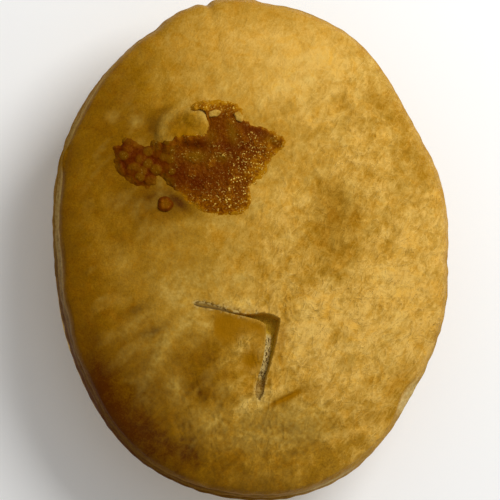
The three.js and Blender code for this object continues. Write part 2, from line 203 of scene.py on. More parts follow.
# How far the cheese runs in under the vent flap, and how high the flap is where it no longer does
CHEESE_UNDER_FLAP = 1.0
CHEESE_FLAP_LIMIT = 1.5
# Places in the cheese with gold foam, with sparkling bubbles that get painted highlights, with clear fat and
# with darker crust: place, half-length, half-width, turn in degrees, and strength
CHEESE_FOAM = ((0.0, 17.0, 3.4, 4.4, 30, 1.0), (-7, 8.8, 7, 2.2, -5, 0.7), (-16, 11, 3.5, 1.2, -40, 0.5))
CHEESE_SPARKLE = (
    (-2, 15, 6, 5, 40, 0.9), (-9, 9, 8, 3, -5, 0.6), (-1, 22, 5, 3, 20, 0.5), (-9, 34, 7, 1.4, 0, 0.5),
)
CHEESE_CLEAR = (
    (-15.2, 20.9, 3.0, 1.5, 0, 0.9), (-6, 27, 1.2, 3.0, 10, 0.8), (-8.5, 20.8, 2.0, 1.1, 0, 0.7),
    (4.2, 25.6, 2.6, 1.2, -20, 0.5), (-11.5, 26, 1.6, 2.4, 0, 0.5),
)
CHEESE_DARK = (
    (-20.2, 16.3, 2.0, 3.2, -25, 0.40), (-14.7, 14.4, 2.6, 1.9, 0, 0.35), (-6, 23.2, 4.5, 1.6, 0, 0.35),
    (0, 28.0, 3.4, 1.8, -25, 0.30), (-14, 24, 4, 1.2, 0, 0.30), (-9, 17, 3, 2, 0, 0.20),
    (-5, 19.6, 2.5, 1.8, 0, 0.25), (3.2, 24.6, 2.4, 1.8, -20, -0.25),
)

# Drop of cheese
DROP_PLACE = (-22.6, 8.9)
DROP_RADIUS = 2.0
DROP_RISE = 1.3
DROP_FLOOR = -0.4
DROP_SPOKES = 72
DROP_ROWS = 30

# Chips of pastry on the cheese: place, half-length, half-width, turn in degrees
CHIPS = ((-10.5, 31.9, 1.5, 1.0, 15), (-4.4, 31.2, 1.3, 1.1, -40))
CHIP_RISE = 0.6
CHIP_FLOOR = -0.5
CHIP_SPOKES = 48
CHIP_ROWS = 24

# Darkness of the crust's colour, from 0 to 1: in the middle, for each millimetre away from a heading (real
# browning and painted shade on the lower left), at the rim, in the torn ends of the slit and on the hidden
# underside
BROWN_AND_SHADE_HEADING = math.radians(24)
BROWN_MIDDLE = 0.365
BROWN_AND_SHADE_SLOPE = 0.0071
BROWN_RIM = 0.17
BROWN_TEAR = 0.72
BROWN_UNDER = 0.3

# Marks on the crust: place, half-length, half-width, turn in degrees, and strength. A mark with a
# strength below zero takes away some of what its list adds
FLAP_STRIPE = (-3.4, -25.8, 5.8, 2.1, 43)
BROWN_SHADES = (
    (-13, 56, 10, 5, 0, -0.13), (0, 51, 20, 9, 0, -0.16), (-30, 42, 8, 5, 45, 0.08),
    (9, 39, 7, 4, 0, -0.09), (-28, 34, 8, 7, 0, 0.12), (28, 33, 7, 3.5, 0, 0.13), (-26, 31, 8, 6, 0, 0.18),
    (22, 28, 9, 6, 0, 0.07), (37, 27, 14, 7, -64, 0.20), (-35, 21, 5, 8, 0, 0.15), (-28, 18, 9, 8, 0, 0.15),
    (-45, 14, 3, 7, -15, -0.08), (36, 13, 7, 9, 0, 0.11), (22, 10, 18, 24, 0, 0.17),
    (-26, 9, 10, 5, -10, 0.16), (6, 3, 5, 8, 0, -0.10), (47, -2, 3, 10, 0, -0.10), (20, -4, 7, 6, 0, 0.08),
    (-17, -7, 13, 9, -60, 0.13), (-46, -12, 4, 14, 10, -0.07), (14.7, -20, 9, 9, 0, -0.22),
    (42, -24, 6, 9, 10, -0.20), (-25, -24, 8, 8, 0, 0.06), (-44.5, -27, 3, 9, 12, -0.06),
    # (-25.8, -36.5) darkens the lower left: partly browning, partly painted shade
    (-12.5, -32, 8, 9, 0, 0.22), (-8, -36, 8, 5, 0, 0.08), (-25.8, -36.5, 15, 11, -52, 0.17),
    (4, -46, 13, 6, 0, 0.43), (28, -52, 8, 4, 30, -0.18), (3, -58, 12, 3, 0, 0.03),
)
BROWN_PATCHES = (
    (-8, 51, 3, 4, 0, -0.12), (-20.5, 48.8, 4, 3, 30, -0.10), (-27, 48, 4, 2.5, 35, -0.10),
    # (-25.7, 28.6): a painted shadow along the left of the vent flap
    (18, 48, 6, 3, 0, -0.10), (30, 37.5, 5, 2, -15, 0.12), (-25.7, 28.6, 1.5, 4.0, -14, 0.14),
    (-17, 28.6, 5, 3.4, 0, 0.26), (-42, 27, 4, 4, 0, -0.08), (-22, 11, 6, 4, -20, 0.20),
    (-34, 9, 5, 4, 0, 0.10), (25, 6, 5, 4, 0, 0.16), (-19, 3, 5, 4, 0, 0.07), (-29, 2, 6, 5, 0, 0.18),
    (12, 2, 3, 4, 0, 0.10), (-15, -7.5, 5, 3.5, 0, 0.12), (21, -8, 4, 2.5, 0, 0.10),
    (44.6, -8.2, 2.5, 4, 0, -0.10), (10, -14, 3, 5, -20, 0.12), (-3.5, -15, 4.5, 2, -8, -0.15),
    (-29, -20, 4, 4, 0, 0.08), (20, -24, 3, 6, 0, 0.08), (*FLAP_STRIPE, -0.08), (44, -26, 3, 5, 0, -0.10),
    (-11, -28, 4, 3, 0, 0.13), (35, -31.5, 5, 2.5, 10, 0.10), (-33, -37, 4, 4, 0, -0.08),
    (-7.5, -43, 4, 3, 0, -0.10), (-15, -44.4, 4, 3, 0, 0.10), (13, -45, 6, 6.5, 0, 0.22),
    (30, -45, 4, 3, 0, -0.12), (28, -46, 4, 3, 0, -0.08), (-23, -48, 6, 3, -30, 0.08),
    (-14, -50, 6, 4, 0, 0.15), (-13.9, -52.1, 4, 2.5, 0, 0.10), (-5, -55, 6, 4, 0, 0.09),
    (3, -59, 5, 1.6, 0, 0.10),
)
BROWN_FLECKS = (
    (-25.4, 46.8, 3.5, 2.5, 35, 0.12), (23.7, 34.6, 3.2, 1.6, -55, 0.12), (-24.1, 33.8, 2.5, 2.2, 0, -0.14),
    (-21.5, 33.4, 3.4, 0.7, 20, 0.15), (19.8, 31.9, 3, 3, 0, 0.11), (-1.6, 31.5, 2.6, 1.8, -25, 0.18),
    (33.6, 30.6, 3, 3, 0, -0.14), (-13.8, 29, 2.2, 3, 0, 0.12), (6.1, 21.5, 2.5, 3, 0, 0.12),
    (22.6, 19.2, 3, 2.5, 0, -0.11), (17, 17.2, 3.5, 3, 0, 0.12), (22.8, 13.4, 3, 3, 0, 0.08),
    (-19, 9.6, 3, 1.6, -40, 0.20), (31, 8.6, 3, 3, 0, 0.12), (-16, 7.4, 3, 1.5, -35, 0.14),
    (9.4, 6.8, 3, 3, 0, -0.12), (-6, 4.5, 2.5, 1.4, 0, 0.14), (15, 3.5, 0.6, 0.9, 0, 0.35),
    (12.9, 3, 3, 3, 0, 0.12), (24.1, 0.9, 3, 2.5, 0, 0.10), (33, 0.9, 0.7, 0.5, 0, 0.30),
    (8.9, -4.2, 3.5, 3, 0, -0.13), (12.2, -7.2, 3, 2.5, 0, 0.12), (22.8, -7.5, 3, 3, 0, 0.11),
    (-5.3, -15, 2.6, 1.3, -8, 0.12), (-29, -17, 3, 1.2, 20, 0.15), (17.5, -18.5, 1.2, 0.7, 20, 0.20),
    (10.1, -18.8, 2.5, 3, 0, 0.12), (17.7, -21.4, 3, 3, 0, 0.10), (0.6, -21.6, 2, 1.6, -30, 0.12),
    (-25, -22.5, 3.4, 1.1, 25, 0.20), (-4.8, -27.6, 2.2, 1.6, 43, 0.16), (-10.9, -37.9, 3, 2.5, 0, 0.11),
    # (7.4, -38.5): a dark line along the crease of the lower fold, painted shade
    (7.4, -38.5, 3.8, 0.5, 27, 0.70), (-2.5, -40.5, 3.5, 2, 30, -0.15), (-0.8, -42, 3, 2, 20, 0.06),
)
BROWNER_MARKS = BROWN_SHADES + BROWN_PATCHES + BROWN_FLECKS
PALER_MARKS = (
    # (17, 47.8), (10, 43.2), (22, 41.6) and (14, 41.4): bright strokes near the top, painted highlights
    (0, 56, 22, 9, 0, -0.25), (-9, 49, 5, 4, 0, -0.25), (17, 47.8, 4.6, 1.8, 0, 0.35),
    (31, 46, 5, 3, -50, 0.35), (10, 43.2, 4, 0.6, 8, 0.35), (22, 41.6, 3, 0.4, 0, 0.35),
    (14, 41.4, 2.5, 0.5, 5, 0.35), (-18, 34.4, 1.6, 0.9, 20, 0.70), (-16, 32.7, 3, 0.8, 0, 0.60),
    (-20.5, 31.8, 3, 1.2, 28, 0.45), (-13.2, 31.2, 1.4, 1.4, 0, 1.00), (-35.5, 31, 1.5, 1.4, 0, 0.80),
    (-29.5, 30, 1.8, 1.8, 0, 0.80), (-23.4, 27.6, 1.5, 3.6, -16, 0.80), (-21.5, 24.9, 1, 1, 0, 0.60),
    (-23.8, 14, 1.0, 2.4, 0, 0.50), (-36, 9.5, 2, 2, 0, 0.25), (-30, 9, 2, 1.5, 0, 0.25),
    (0.2, 9, 2.2, 2.5, 0, 0.60), (-12, 4.4, 6, 1.2, 5, 0.55), (-33, -6, 3, 4, 20, 0.40),
    (-17, -7, 13, 9, -60, 0.45), (-3.5, -8, 2.5, 1.8, 40, 0.50), (30, -9, 4, 3, 30, 0.30),
    (-3.6, -10, 2.6, 1.8, 0, 0.70), (-15, -11, 6, 4, 0, 0.50), (-22, -13, 4, 2, 0, 0.45),
    (-35, -14.5, 3, 1.5, 0, 0.30), (-18, -15, 3, 1.6, 0, 0.60), (-4, -15.4, 4.2, 1.6, -8, 1.00),
    # (36, -16.8): a painted glint
    (36, -16.8, 1.4, 1.0, 0, 0.80), (14, -18, 4, 3, 0, 0.30), (-17.5, -20.3, 5, 1.5, 42, 0.90),
    (-12.8, -20.6, 2.6, 1.4, -40, 0.70), (-30.5, -21, 4.5, 1.3, 40, 0.55), (-24, -22, 8, 8, 0, 0.40),
    (34, -23, 4, 3, 30, 0.35), (12, -24, 4, 4, 0, 0.30), (*FLAP_STRIPE, 0.60), (-23, -27, 5, 1.5, 65, 1.00),
    (28, -30, 10, 8, 0, 0.20), (13, -32.5, 4, 1.5, 20, 0.40), (-25, -36, 8, 7, -50, 0.25),
    (-19.6, -36.5, 2, 3.6, 5, 0.90), (-7.5, -36.5, 3, 2, 20, 0.60), (-32, -37, 5, 4, 0, -0.18),
    (-1.5, -40, 4.5, 2, 30, 1.00), (-0.8, -42, 3, 2, 20, 0.90), (-12.5, -43.5, 4.8, 3, 10, 0.70),
    (12, -44, 6, 4.5, 0, 0.90), (17.5, -44, 2.5, 3.5, 20, 0.40), (3, -47, 12, 5, 0, 0.90),
    (-8, -48, 12, 5, 0, 0.20), (3, -58, 12, 3, 0, 0.30),
)
GLAZE_MARKS = (
    (30, 37.5, 5, 2, -15, 0.15), (23.7, 34.6, 3, 1.6, -55, 0.25), (-18.5, 26.6, 3.4, 1.5, 5, 0.85),
    (42, 20, 4, 6, 0, 0.12), (-17.6, -5.2, 2.4, 1.2, 50, 0.35), (45, -9, 3, 3, 0, 0.15),
    (0.8, -21.8, 1.8, 1.6, -30, 0.40), (42.5, -22, 3, 4, 0, 0.14), (6.3, -24, 1.3, 4.5, -10, 0.70),
    (-44.5, -27, 3, 9, 12, 0.25), (-1.2, -29.6, 2.2, 3.2, -20, 1.00), (37, -31.5, 5, 1.8, 25, 0.25),
    # (7.4, -38.5): a dark line along the crease of the lower fold, painted shade
    (14, -36.2, 4, 1.1, 20, 0.30), (7.4, -38.5, 3.8, 0.6, 27, 1.60), (28, -43, 4, 3, 20, 0.12),
    (-6, -53, 1.5, 0.8, 0, 0.40),
)
GREASE_AND_SHADE_MARKS = (
    # (-23.2, 32.6) and (-25.1, 28.2): painted shadow along the upper left and left of the vent flap
    (-23.2, 32.6, 2.6, 1.1, 42, 0.35), (4, 30.5, 4, 2, -25, 0.40), (-25.1, 28.2, 1.3, 3.6, -14, 0.60),
    (7.5, 26, 3.5, 4, 0, 0.25), (-28, 18, 8, 7.5, 0, 0.35), (20.5, 11, 4.8, 5.4, 0, 0.95),
    (-16, 6.3, 6, 1.5, -15, 0.35), (20, 1.5, 5, 5.4, 0, 0.85),
)
ROUGH_MARKS = (
    (-18.5, 29, 6, 4, 0, 1.3), (-4, -15.4, 4, 1.4, -8, 0.8), (*FLAP_STRIPE, 1.6),
    (-1.5, -40, 4, 2, 30, 0.8), (2, -49, 15, 7, 0, 0.9),
)
STAIN_MARKS = ((-6.2, -21.8, 6.2, 4.0, -20, 1.0), (0, -21.6, 2.4, 1.6, -30, 0.5))
CALM_MARKS = ((-4, -22, 7, 5, -10, 1.0),)


# Settings that a user may change

def length(label, text, value):
    """A size in metres."""
    return FloatProperty(name=label, description=text, default=value, min=0.0, unit="LENGTH", precision=5)


def colour(label, text, value):
    """A linear colour."""
    return FloatVectorProperty(
        name=label, description=text, default=value, min=0.0, max=1.0, size=3, subtype="COLOR",
    )


def share(label, text, value):
    """A number from 0 to 1."""
    return FloatProperty(name=label, description=text, default=value, min=0.0, max=1.0, subtype="FACTOR")


class PastrySettings(bpy.types.PropertyGroup):
    """Relief and colours of the baked pastry."""

    wrinkle_depth: length("Wrinkle depth", "Height of the crooked wrinkles in the crust's skin", 0.0003)
    grain_depth: length("Grain depth", "Height of the fine grain of the skin", 0.00006)
    layer_depth: length("Layer depth", "How far the puffed layers of the cut edge stand out", 0.00025)
    cream: colour("Cream", "Least baked pastry", (0.67, 0.388, 0.078))
    gold: colour("Gold", "Pastry baked as it should be", (0.51, 0.270, 0.035))
    amber: colour("Amber", "Pastry with an egg-wash colour", (0.36, 0.168, 0.006))
    brown: colour("Brown", "Well baked pastry", (0.23, 0.098, 0.0008))
    umber: colour("Umber", "Pastry browned more than it should be", (0.155, 0.061, 0.0005))
    dark: colour("Dark", "Pastry that caught in the oven", (0.075, 0.016, 0.0002))
    glaze: colour("Glaze", "Places glazed by fat", (0.29, 0.118, 0.0005))
    flour: colour("Flour", "What dry flour adds to the colour under it", (0.012, 0.050, 0.027))
    # The grease colour also darkens the painted shadow along the left of the vent flap
    grease: colour("Grease", "What is left of the colour where grease soaked in", (0.72, 0.64, 0.35))
    warmth: colour("Warmth", "What is left of the colour in warmer patches", (1.0, 0.86, 0.40))
    crumb: colour("Crumb", "Inside of the pastry where it is cut", (0.76, 0.60, 0.25))
    inside: colour("Inside", "Crumb in the slit", (0.55, 0.395, 0.135))
    # Pore colour: painted shade in the holes of the crumb and in the slit's dark gaps
    pore_shade: colour("Pore", "Holes in the crumb", (0.13, 0.073, 0.017))
    moist: colour("Moist", "Moist inside of the slit", (0.50, 0.29, 0.018))
    roughness: share("Roughness", "Dullness of the pastry's skin", 0.45)


class CheeseSettings(bpy.types.PropertyGroup):
    """Relief and colours of the browned cheese."""

    bubble_rise: length("Bubble rise", "Height of the bubbles over the sheet", 0.00042)
    crag_depth: length("Crag depth", "Height of the crags between the bubbles", 0.00012)
    gold: colour("Gold", "Edges that only just browned", (0.38, 0.165, 0.003))
    amber: colour("Amber", "Cheese fried in its own fat", (0.22, 0.068, 0.0005))
    brown: colour("Brown", "Well browned cheese", (0.125, 0.027, 0.0002))
    dark: colour("Dark", "Cheese that nearly burnt", (0.08, 0.010, 0.0001))
    clear: colour("Clear", "Clear fat with the pastry's gold under it", (0.138, 0.056, 0.0004))
    # Glint colour: pale dots painted as highlights on tiny bubbles
    foam_and_glints: colour("Foam", "Tiny bubbles that catch the light", (0.75, 0.52, 0.10))
    roughness: share("Roughness", "Dullness of the greasy skin", 0.25)


class StageSettings(bpy.types.PropertyGroup):
    """Camera and light round the pie."""

    tilt: FloatProperty(
        name="Tilt", description="Angle between the view and straight down",
        default=math.radians(12), subtype="ANGLE",
    )
    heading: FloatProperty(
        name="Heading", description="Direction that the camera leans to, from +X",
        default=math.radians(227), subtype="ANGLE",
    )
    distance: length("Distance", "From the camera to the pie", 0.8)
    lens: FloatProperty(name="Lens", description="Focal length of the camera in millimetres", default=231.2)
    key_power: FloatProperty(
        name="Key light", description="Power of the main light", default=2.9, unit="POWER",
    )
    sky: share("Sky", "Strength of the even light from all round", 0.45)
    floor: colour("Floor", "Colour of the plain floor", (0.92, 0.92, 0.91))


# Noise and other small fields, for whole arrays of places

# Cells of noise in its square pattern, and once round the pie
LATTICE = 256
ROUND_CELLS = 128
# Slack for places that lie on a line
TOUCH = 1e-6


def limited(value):
    """A value kept from 0 to 1."""
    return np.clip(value, 0.0, 1.0)


def bell(distance, spread):
    """A soft bump: 1 at no distance, about a third at the spread, and nothing far out."""
    return np.exp(-((distance / spread) ** 2))


def ease(value, start, stop):
    """0 below start, 1 above stop, and an S-shaped curve between them."""
    part = limited((value - start) / (stop - start))
    return part * part * (3.0 - 2.0 * part)


def blend(first, second, part):
    """First where part is 0, second where it is 1, and in between in proportion."""
    return first + (second - first) * part


def smooth_noise(x, y, seed, wrap=LATTICE):
    """Gradient noise, about -0.7 to 0.7: each whole-number corner has a random slope, and a fifth-order
    ease blends the four slopes round a place. It repeats along x after wrap cells."""
    turns = np.random.default_rng(seed).uniform(0.0, 2.0 * np.pi, (LATTICE, LATTICE))
    left = np.floor(x).astype(int)
    low = np.floor(y).astype(int)
    across = x - left
    up = y - low

    def slope(step_x, step_y):
        turn = turns[(left + step_x) % wrap, (low + step_y) % LATTICE]
        return np.cos(turn) * (across - step_x) + np.sin(turn) * (up - step_y)

    ease_x = across**3 * (across * (across * 6.0 - 15.0) + 10.0)
    ease_y = up**3 * (up * (up * 6.0 - 15.0) + 10.0)
    lower = blend(slope(0, 0), slope(1, 0), ease_x)
    upper = blend(slope(0, 1), slope(1, 1), ease_x)
    return blend(lower, upper, ease_y)


def cloudy(x, y, size, seed, octaves=3):
    """Gradient noise added up in octaves, each half as large and half as strong as the one before."""
    total = np.zeros_like(x)
    for octave in range(octaves):
        scale = 2.0**octave
        total += smooth_noise(x * scale / size, y * scale / size, seed + octave) / scale
    return total


def crinkled(x, y, size, seed):
    """Ridges from 0 to 1 along crooked lines: one less the size of noise, at places that larger noise
    pushes about."""
    push_x = size * cloudy(x, y, 1.9 * size, seed + 20, 2)
    push_y = size * cloudy(x, y, 1.9 * size, seed + 30, 2)
    ridge = 1.0 - 2.2 * np.abs(smooth_noise((x + push_x) / size, (y + push_y) / size, seed))
    return limited(ridge)


def cells(x, y, size, seed):
    """Distance in cells to the nearest point, with one random point in each square cell, and that point's
    own number."""
    draw = np.random.default_rng(seed).uniform(0.0, 1.0, (LATTICE, LATTICE, 3))
    column = np.floor(x / size).astype(int)
    row = np.floor(y / size).astype(int)
    nearest = np.full(x.shape, np.inf)
    number = np.zeros(x.shape)
    for step_x in (-1, 0, 1):
        for step_y in (-1, 0, 1):
            point = draw[(column + step_x) % LATTICE, (row + step_y) % LATTICE]
            away = np.hypot(
                column + step_x + point[..., 0] - x / size, row + step_y + point[..., 1] - y / size,
            )
            number = np.where(away < nearest, point[..., 2], number)
            nearest = np.minimum(nearest, away)
    return nearest, number


def spots(x, y, marks):
    """Sum of soft oval marks, each with a place, half-length, half-width, turn and strength."""
    total = np.zeros_like(x)
    for mark_x, mark_y, half_length, half_width, turn, strength in marks:
        cosine = math.cos(math.radians(turn))
        sine = math.sin(math.radians(turn))
        along = cosine * (x - mark_x) + sine * (y - mark_y)
        across = cosine * (y - mark_y) - sine * (x - mark_x)
        total += strength * bell(np.hypot(along / half_length, across / half_width), 1.0)
    return total


def folds(x, y):
    """Height of the soft folds: each is a bell across the straight line between its ends, and lower towards
    them."""
    total = np.zeros_like(x)
    for start_x, start_y, end_x, end_y, half_width, rise in FOLDS:
        step_x = end_x - start_x
        step_y = end_y - start_y
        along = ((x - start_x) * step_x + (y - start_y) * step_y) / (step_x**2 + step_y**2)
        along = limited(along)
        away = np.hypot(x - start_x - along * step_x, y - start_y - along * step_y)
        towards_middle = np.sqrt(limited(4.2 * along * (1.0 - along) + 0.1))
        total += rise * bell(away, half_width) * towards_middle
    return total


# Form of the pie

def wave_share(waves, angle):
    """Sum of cosines round the pie, as a share of the radius."""
    return sum(part * np.cos(count * (angle - math.radians(crest))) for count, part, crest in waves)


def turn_from(angle, degrees):
    """Angle from a direction, between minus and plus half a turn."""
    return np.angle(np.exp(1j * (angle - math.radians(degrees))))


def round_marks(angle, marks):
    """Sum of bells round the pie, each with a direction, a half-width in degrees and a size."""
    return sum(size * bell(turn_from(angle, at), math.radians(width)) for at, width, size in marks)


def turned(radius, angle, height):
    """Points at a radius in a direction, at a height."""
    return np.stack([radius * np.cos(angle), radius * np.sin(angle), height], axis=-1)


def outline_radius(angle, waviness=1.0):
    """Radius of the oval in a direction, with its waves."""
    oval = 1.0 / np.hypot(2.0 * np.cos(angle) / PIE_WIDTH, 2.0 * np.sin(angle) / PIE_LENGTH)
    return oval * (1.0 + waviness * wave_share(OUTLINE_WAVES, angle))


def crust_radius(angle):
    """Radius of the crust's cut edge at the seam: the outline less the nicks."""
    return outline_radius(angle) - round_marks(angle, EDGE_NICKS)


def skin_radius(angle):
    """Radius of the crust's top skin, which stops short of the cut edge below it."""
    return crust_radius(angle) - EDGE_FLARE - round_marks(angle, EDGE_LEDGES)


def edge_height(angle):
    """Height of the cut edge over the seam."""
    return CRUST_EDGE * (1.0 + wave_share(EDGE_WAVES, angle))


def crust_top(x, y):
    """Height of the bare crust over the seam: a dome (1 - r^3)^0.6 from the edge to the crown, with
    swellings."""
    angle = np.arctan2(y, x)
    part = limited(np.hypot(x, y) / (crust_radius(angle) - EDGE_FLARE))
    dome = (1.0 - part**CROWN_FULLNESS) ** CROWN_SHOULDER
    height = blend(edge_height(angle), CRUST_EDGE + CRUST_CROWN, dome)
    for swell_x, swell_y, spread, rise in SWELLINGS:
        height = height + rise * dome * bell(np.hypot(x - swell_x, y - swell_y), spread)
    return height


def heap_top(part):
    """Height over the seam of the heaped filling, at a share of the radius."""
    return (CRUST_EDGE + CRUST_CROWN - CRUST_THICKNESS) * (1.0 - ease(part, HEAP_TOP, HEAP_START))


def vent_front(x):
    """Place along Y of the vent flap's torn front, which is wavy and hangs down on its left."""
    waves = sum(size * np.sin(pace * (x - VENT_X) + start) for pace, size, start in VENT_FRONT_WAVES)
    return VENT_FRONT + waves - VENT_LOBE * ease(VENT_X - x, 1.4, 2.8)


def vent_height(x, y):
    """Height of the vent flap's blister over the crust: a flattened half dome behind its torn front, round
    on the left and nearly square on the right."""
    across = (x - VENT_X) / VENT_HALF_WIDTH
    back = np.clip((y - VENT_FRONT) / VENT_REACH, 0.0, None)
    sideways = np.where(across > 0.0, VENT_SQUARE, VENT_ROUND)
    backwards = blend(VENT_ROUND, VENT_SQUARE, ease(across, 0.0, 0.5))
    outwards = np.abs(across) ** sideways + back**backwards
    steepness = blend(0.8, 0.4, ease(across, 0.0, 0.9))
    round_top = np.clip(1.0 - outwards, 0.0, None) ** steepness
    bumps = 1.0 + 0.25 * cloudy(x, y, size=3.2, seed=91) + 0.12 * cloudy(x, y, size=1.5, seed=95)
    return np.where(y >= vent_front(x) - TOUCH, VENT_RISE * round_top * bumps, 0.0)


# Steam slit

def bent_line(points, steps=12):
    """Places along quadratic curves: start, bend, end, and then another bend and end."""
    stretches = []
    part = np.linspace(0.0, 1.0, steps)[:, None]
    for first in range(0, len(points) - 2, 2):
        start, bend, end = (np.array(point) for point in points[first:first + 3])
        stretches.append(blend(blend(start, bend, part), blend(bend, end, part), part))
    return np.concatenate(stretches)


FLAP_LINE = bent_line(SLIT_FLAP_SIDE)
LID_LINE = bent_line(SLIT_LID_SIDE)
SLIT_OUTLINE = np.concatenate([FLAP_LINE, LID_LINE[-2:0:-1]])


def nearest_on_line(x, y, line):
    """Distance to a chain of straight stretches, and the nearest place on it."""
    start = line[:-1]
    step = np.diff(line, axis=0)
    square = np.maximum((step**2).sum(-1), TOUCH**2)
    along = ((x[:, None] - start[:, 0]) * step[:, 0] + (y[:, None] - start[:, 1]) * step[:, 1]) / square
    along = limited(along)
    near_x = start[:, 0] + along * step[:, 0]
    near_y = start[:, 1] + along * step[:, 1]
    away = np.hypot(x[:, None] - near_x, y[:, None] - near_y)
    best = (np.arange(len(x)), away.argmin(-1))
    return away[best], near_x[best], near_y[best]


def inside(x, y, outline):
    """True where a ray towards +X crosses the closed outline an odd number of times."""
    start_x, start_y = outline.T
    end_x, end_y = np.roll(outline, -1, axis=0).T
    rise = np.where(end_y == start_y, TOUCH, end_y - start_y)
    crosses = (start_y > y[:, None]) != (end_y > y[:, None])
    meets = start_x + (y[:, None] - start_y) / rise * (end_x - start_x)
    return (crosses & (x[:, None] < meets)).sum(-1) % 2 == 1


def flap_part(x, y):
    """How far a place lies from the flap's fold, 0, towards its free corner, 1."""
    left = np.array(SLIT_LEFT_END)
    fold_x, fold_y = np.array(SLIT_LOWER_END) - left
    corner_x, corner_y = np.array(SLIT_FLAP_CORNER) - left
    whole = corner_x * fold_y - corner_y * fold_x
    return limited(((x - left[0]) * fold_y - (y - left[1]) * fold_x) / whole)


# Faces

def boundary_loop(rows, columns):
    """Grid point numbers round the rim of a grid, once round, anticlockwise."""
    number = np.arange(rows * columns).reshape(rows, columns)
    return np.concatenate([number[0, :-1], number[:-1, -1], number[-1, :0:-1], number[:0:-1, 0]])


def grid_quads(rows, columns):
    """Four point numbers for each square of a grid, seen anticlockwise from above."""
    number = np.arange(rows * columns).reshape(rows, columns)
    corners = (number[:-1, :-1], number[:-1, 1:], number[1:, 1:], number[1:, :-1])
    return np.stack([corner.ravel() for corner in corners], axis=-1)


def band_quads(rings):
    """Squares between rings of point numbers, each ring closed on itself."""
    near, far = rings[:-1], rings[1:]
    corners = (near, far, np.roll(far, -1, axis=1), np.roll(near, -1, axis=1))
    return np.stack([corner.ravel() for corner in corners], axis=-1)


def fan_triangles(ring, middle):
    """Triangles from a closed ring of point numbers to one middle point."""
    return np.stack([ring, np.full_like(ring, middle), np.roll(ring, -1)], axis=-1)


# Crust

def crowded_lines(half_size, strips):
    """Grid lines from -1 to 1, closer together in strips given in millimetres: the wanted number of lines for
    each millimetre is added up, and lines are taken at equal steps of that sum."""
    fine = np.linspace(-1.0, 1.0, STRIP_SAMPLES)
    place = fine * half_size
    spacing = np.full(fine.shape, GRID_SPACING)
    for start, stop, close in strips:
        in_strip = ease(place, start - STRIP_FADE, start) * (1.0 - ease(place, stop, stop + STRIP_FADE))
        spacing = np.minimum(spacing, blend(GRID_SPACING, close, in_strip))
    total = np.cumsum(1.0 / spacing) * (fine[1] - fine[0]) * half_size
    count = int(round(total[-1] - total[0]))
    return np.interp(np.linspace(total[0], total[-1], count + 1), total, fine)


def crust_grid():
    """Places of the crust's top on a square grid pressed into the oval: x = u sqrt(1 - v^2 / 2) and
    y = v sqrt(1 - u^2 / 2) on a disc, then stretched along each direction to the skin's radius there."""
    columns = crowded_lines(PIE_WIDTH / 2.0, CLOSE_COLUMNS)
    rows = crowded_lines(PIE_LENGTH / 2.0, CLOSE_ROWS)
    u, v = np.meshgrid(columns, rows)
    disc_x = u * np.sqrt(1.0 - v * v / 2.0)
    disc_y = v * np.sqrt(1.0 - u * u / 2.0)
    part = np.hypot(disc_x, disc_y)
    angle = np.arctan2(disc_y * PIE_LENGTH, disc_x * PIE_WIDTH)
    reach = part * skin_radius(angle)
    return reach * np.cos(angle), reach * np.sin(angle), part


def along_lean(x, y):
    """Places measured along and across the lean of the wrinkles, halfway between +X and +Y."""
    return (x + y) / math.sqrt(2.0), (y - x) / math.sqrt(2.0)


def wrinkle_strength(x, y, part):
    """How wrinkled the skin is: most on the lower right, calm on the flap, in grease, in the painted shadow
    by the vent flap and at the rim.
    """
    strength = 0.30 + 0.70 * ease(x - 0.35 * y, -22.0, 18.0)
    strength = strength * (1.0 - 0.65 * ease(part, 0.84, 0.98))
    strength = strength * (1.0 - 0.5 * limited(spots(x, y, GREASE_AND_SHADE_MARKS)))
    return strength * (1.0 - 0.7 * spots(x, y, CALM_MARKS))


def skin_relief(x, y, part, depth):
    """Fine height of the skin and how ridged it is: long wrinkles along the lean, short ones every way, and
    soft clouds."""
    along, across = along_lean(x, y)
    long_wrinkles = crinkled(along / 1.5, across, size=3.4, seed=11)
    short_wrinkles = crinkled(x, y / 1.2, size=1.9, seed=47)
    ridge = 0.55 * long_wrinkles + 0.45 * short_wrinkles
    strength = wrinkle_strength(x, y, part)
    height = strength * (ridge - 0.45) * 1.6 + 1.2 * cloudy(x, y, size=7.0, seed=83)
    return depth * height, ridge * strength


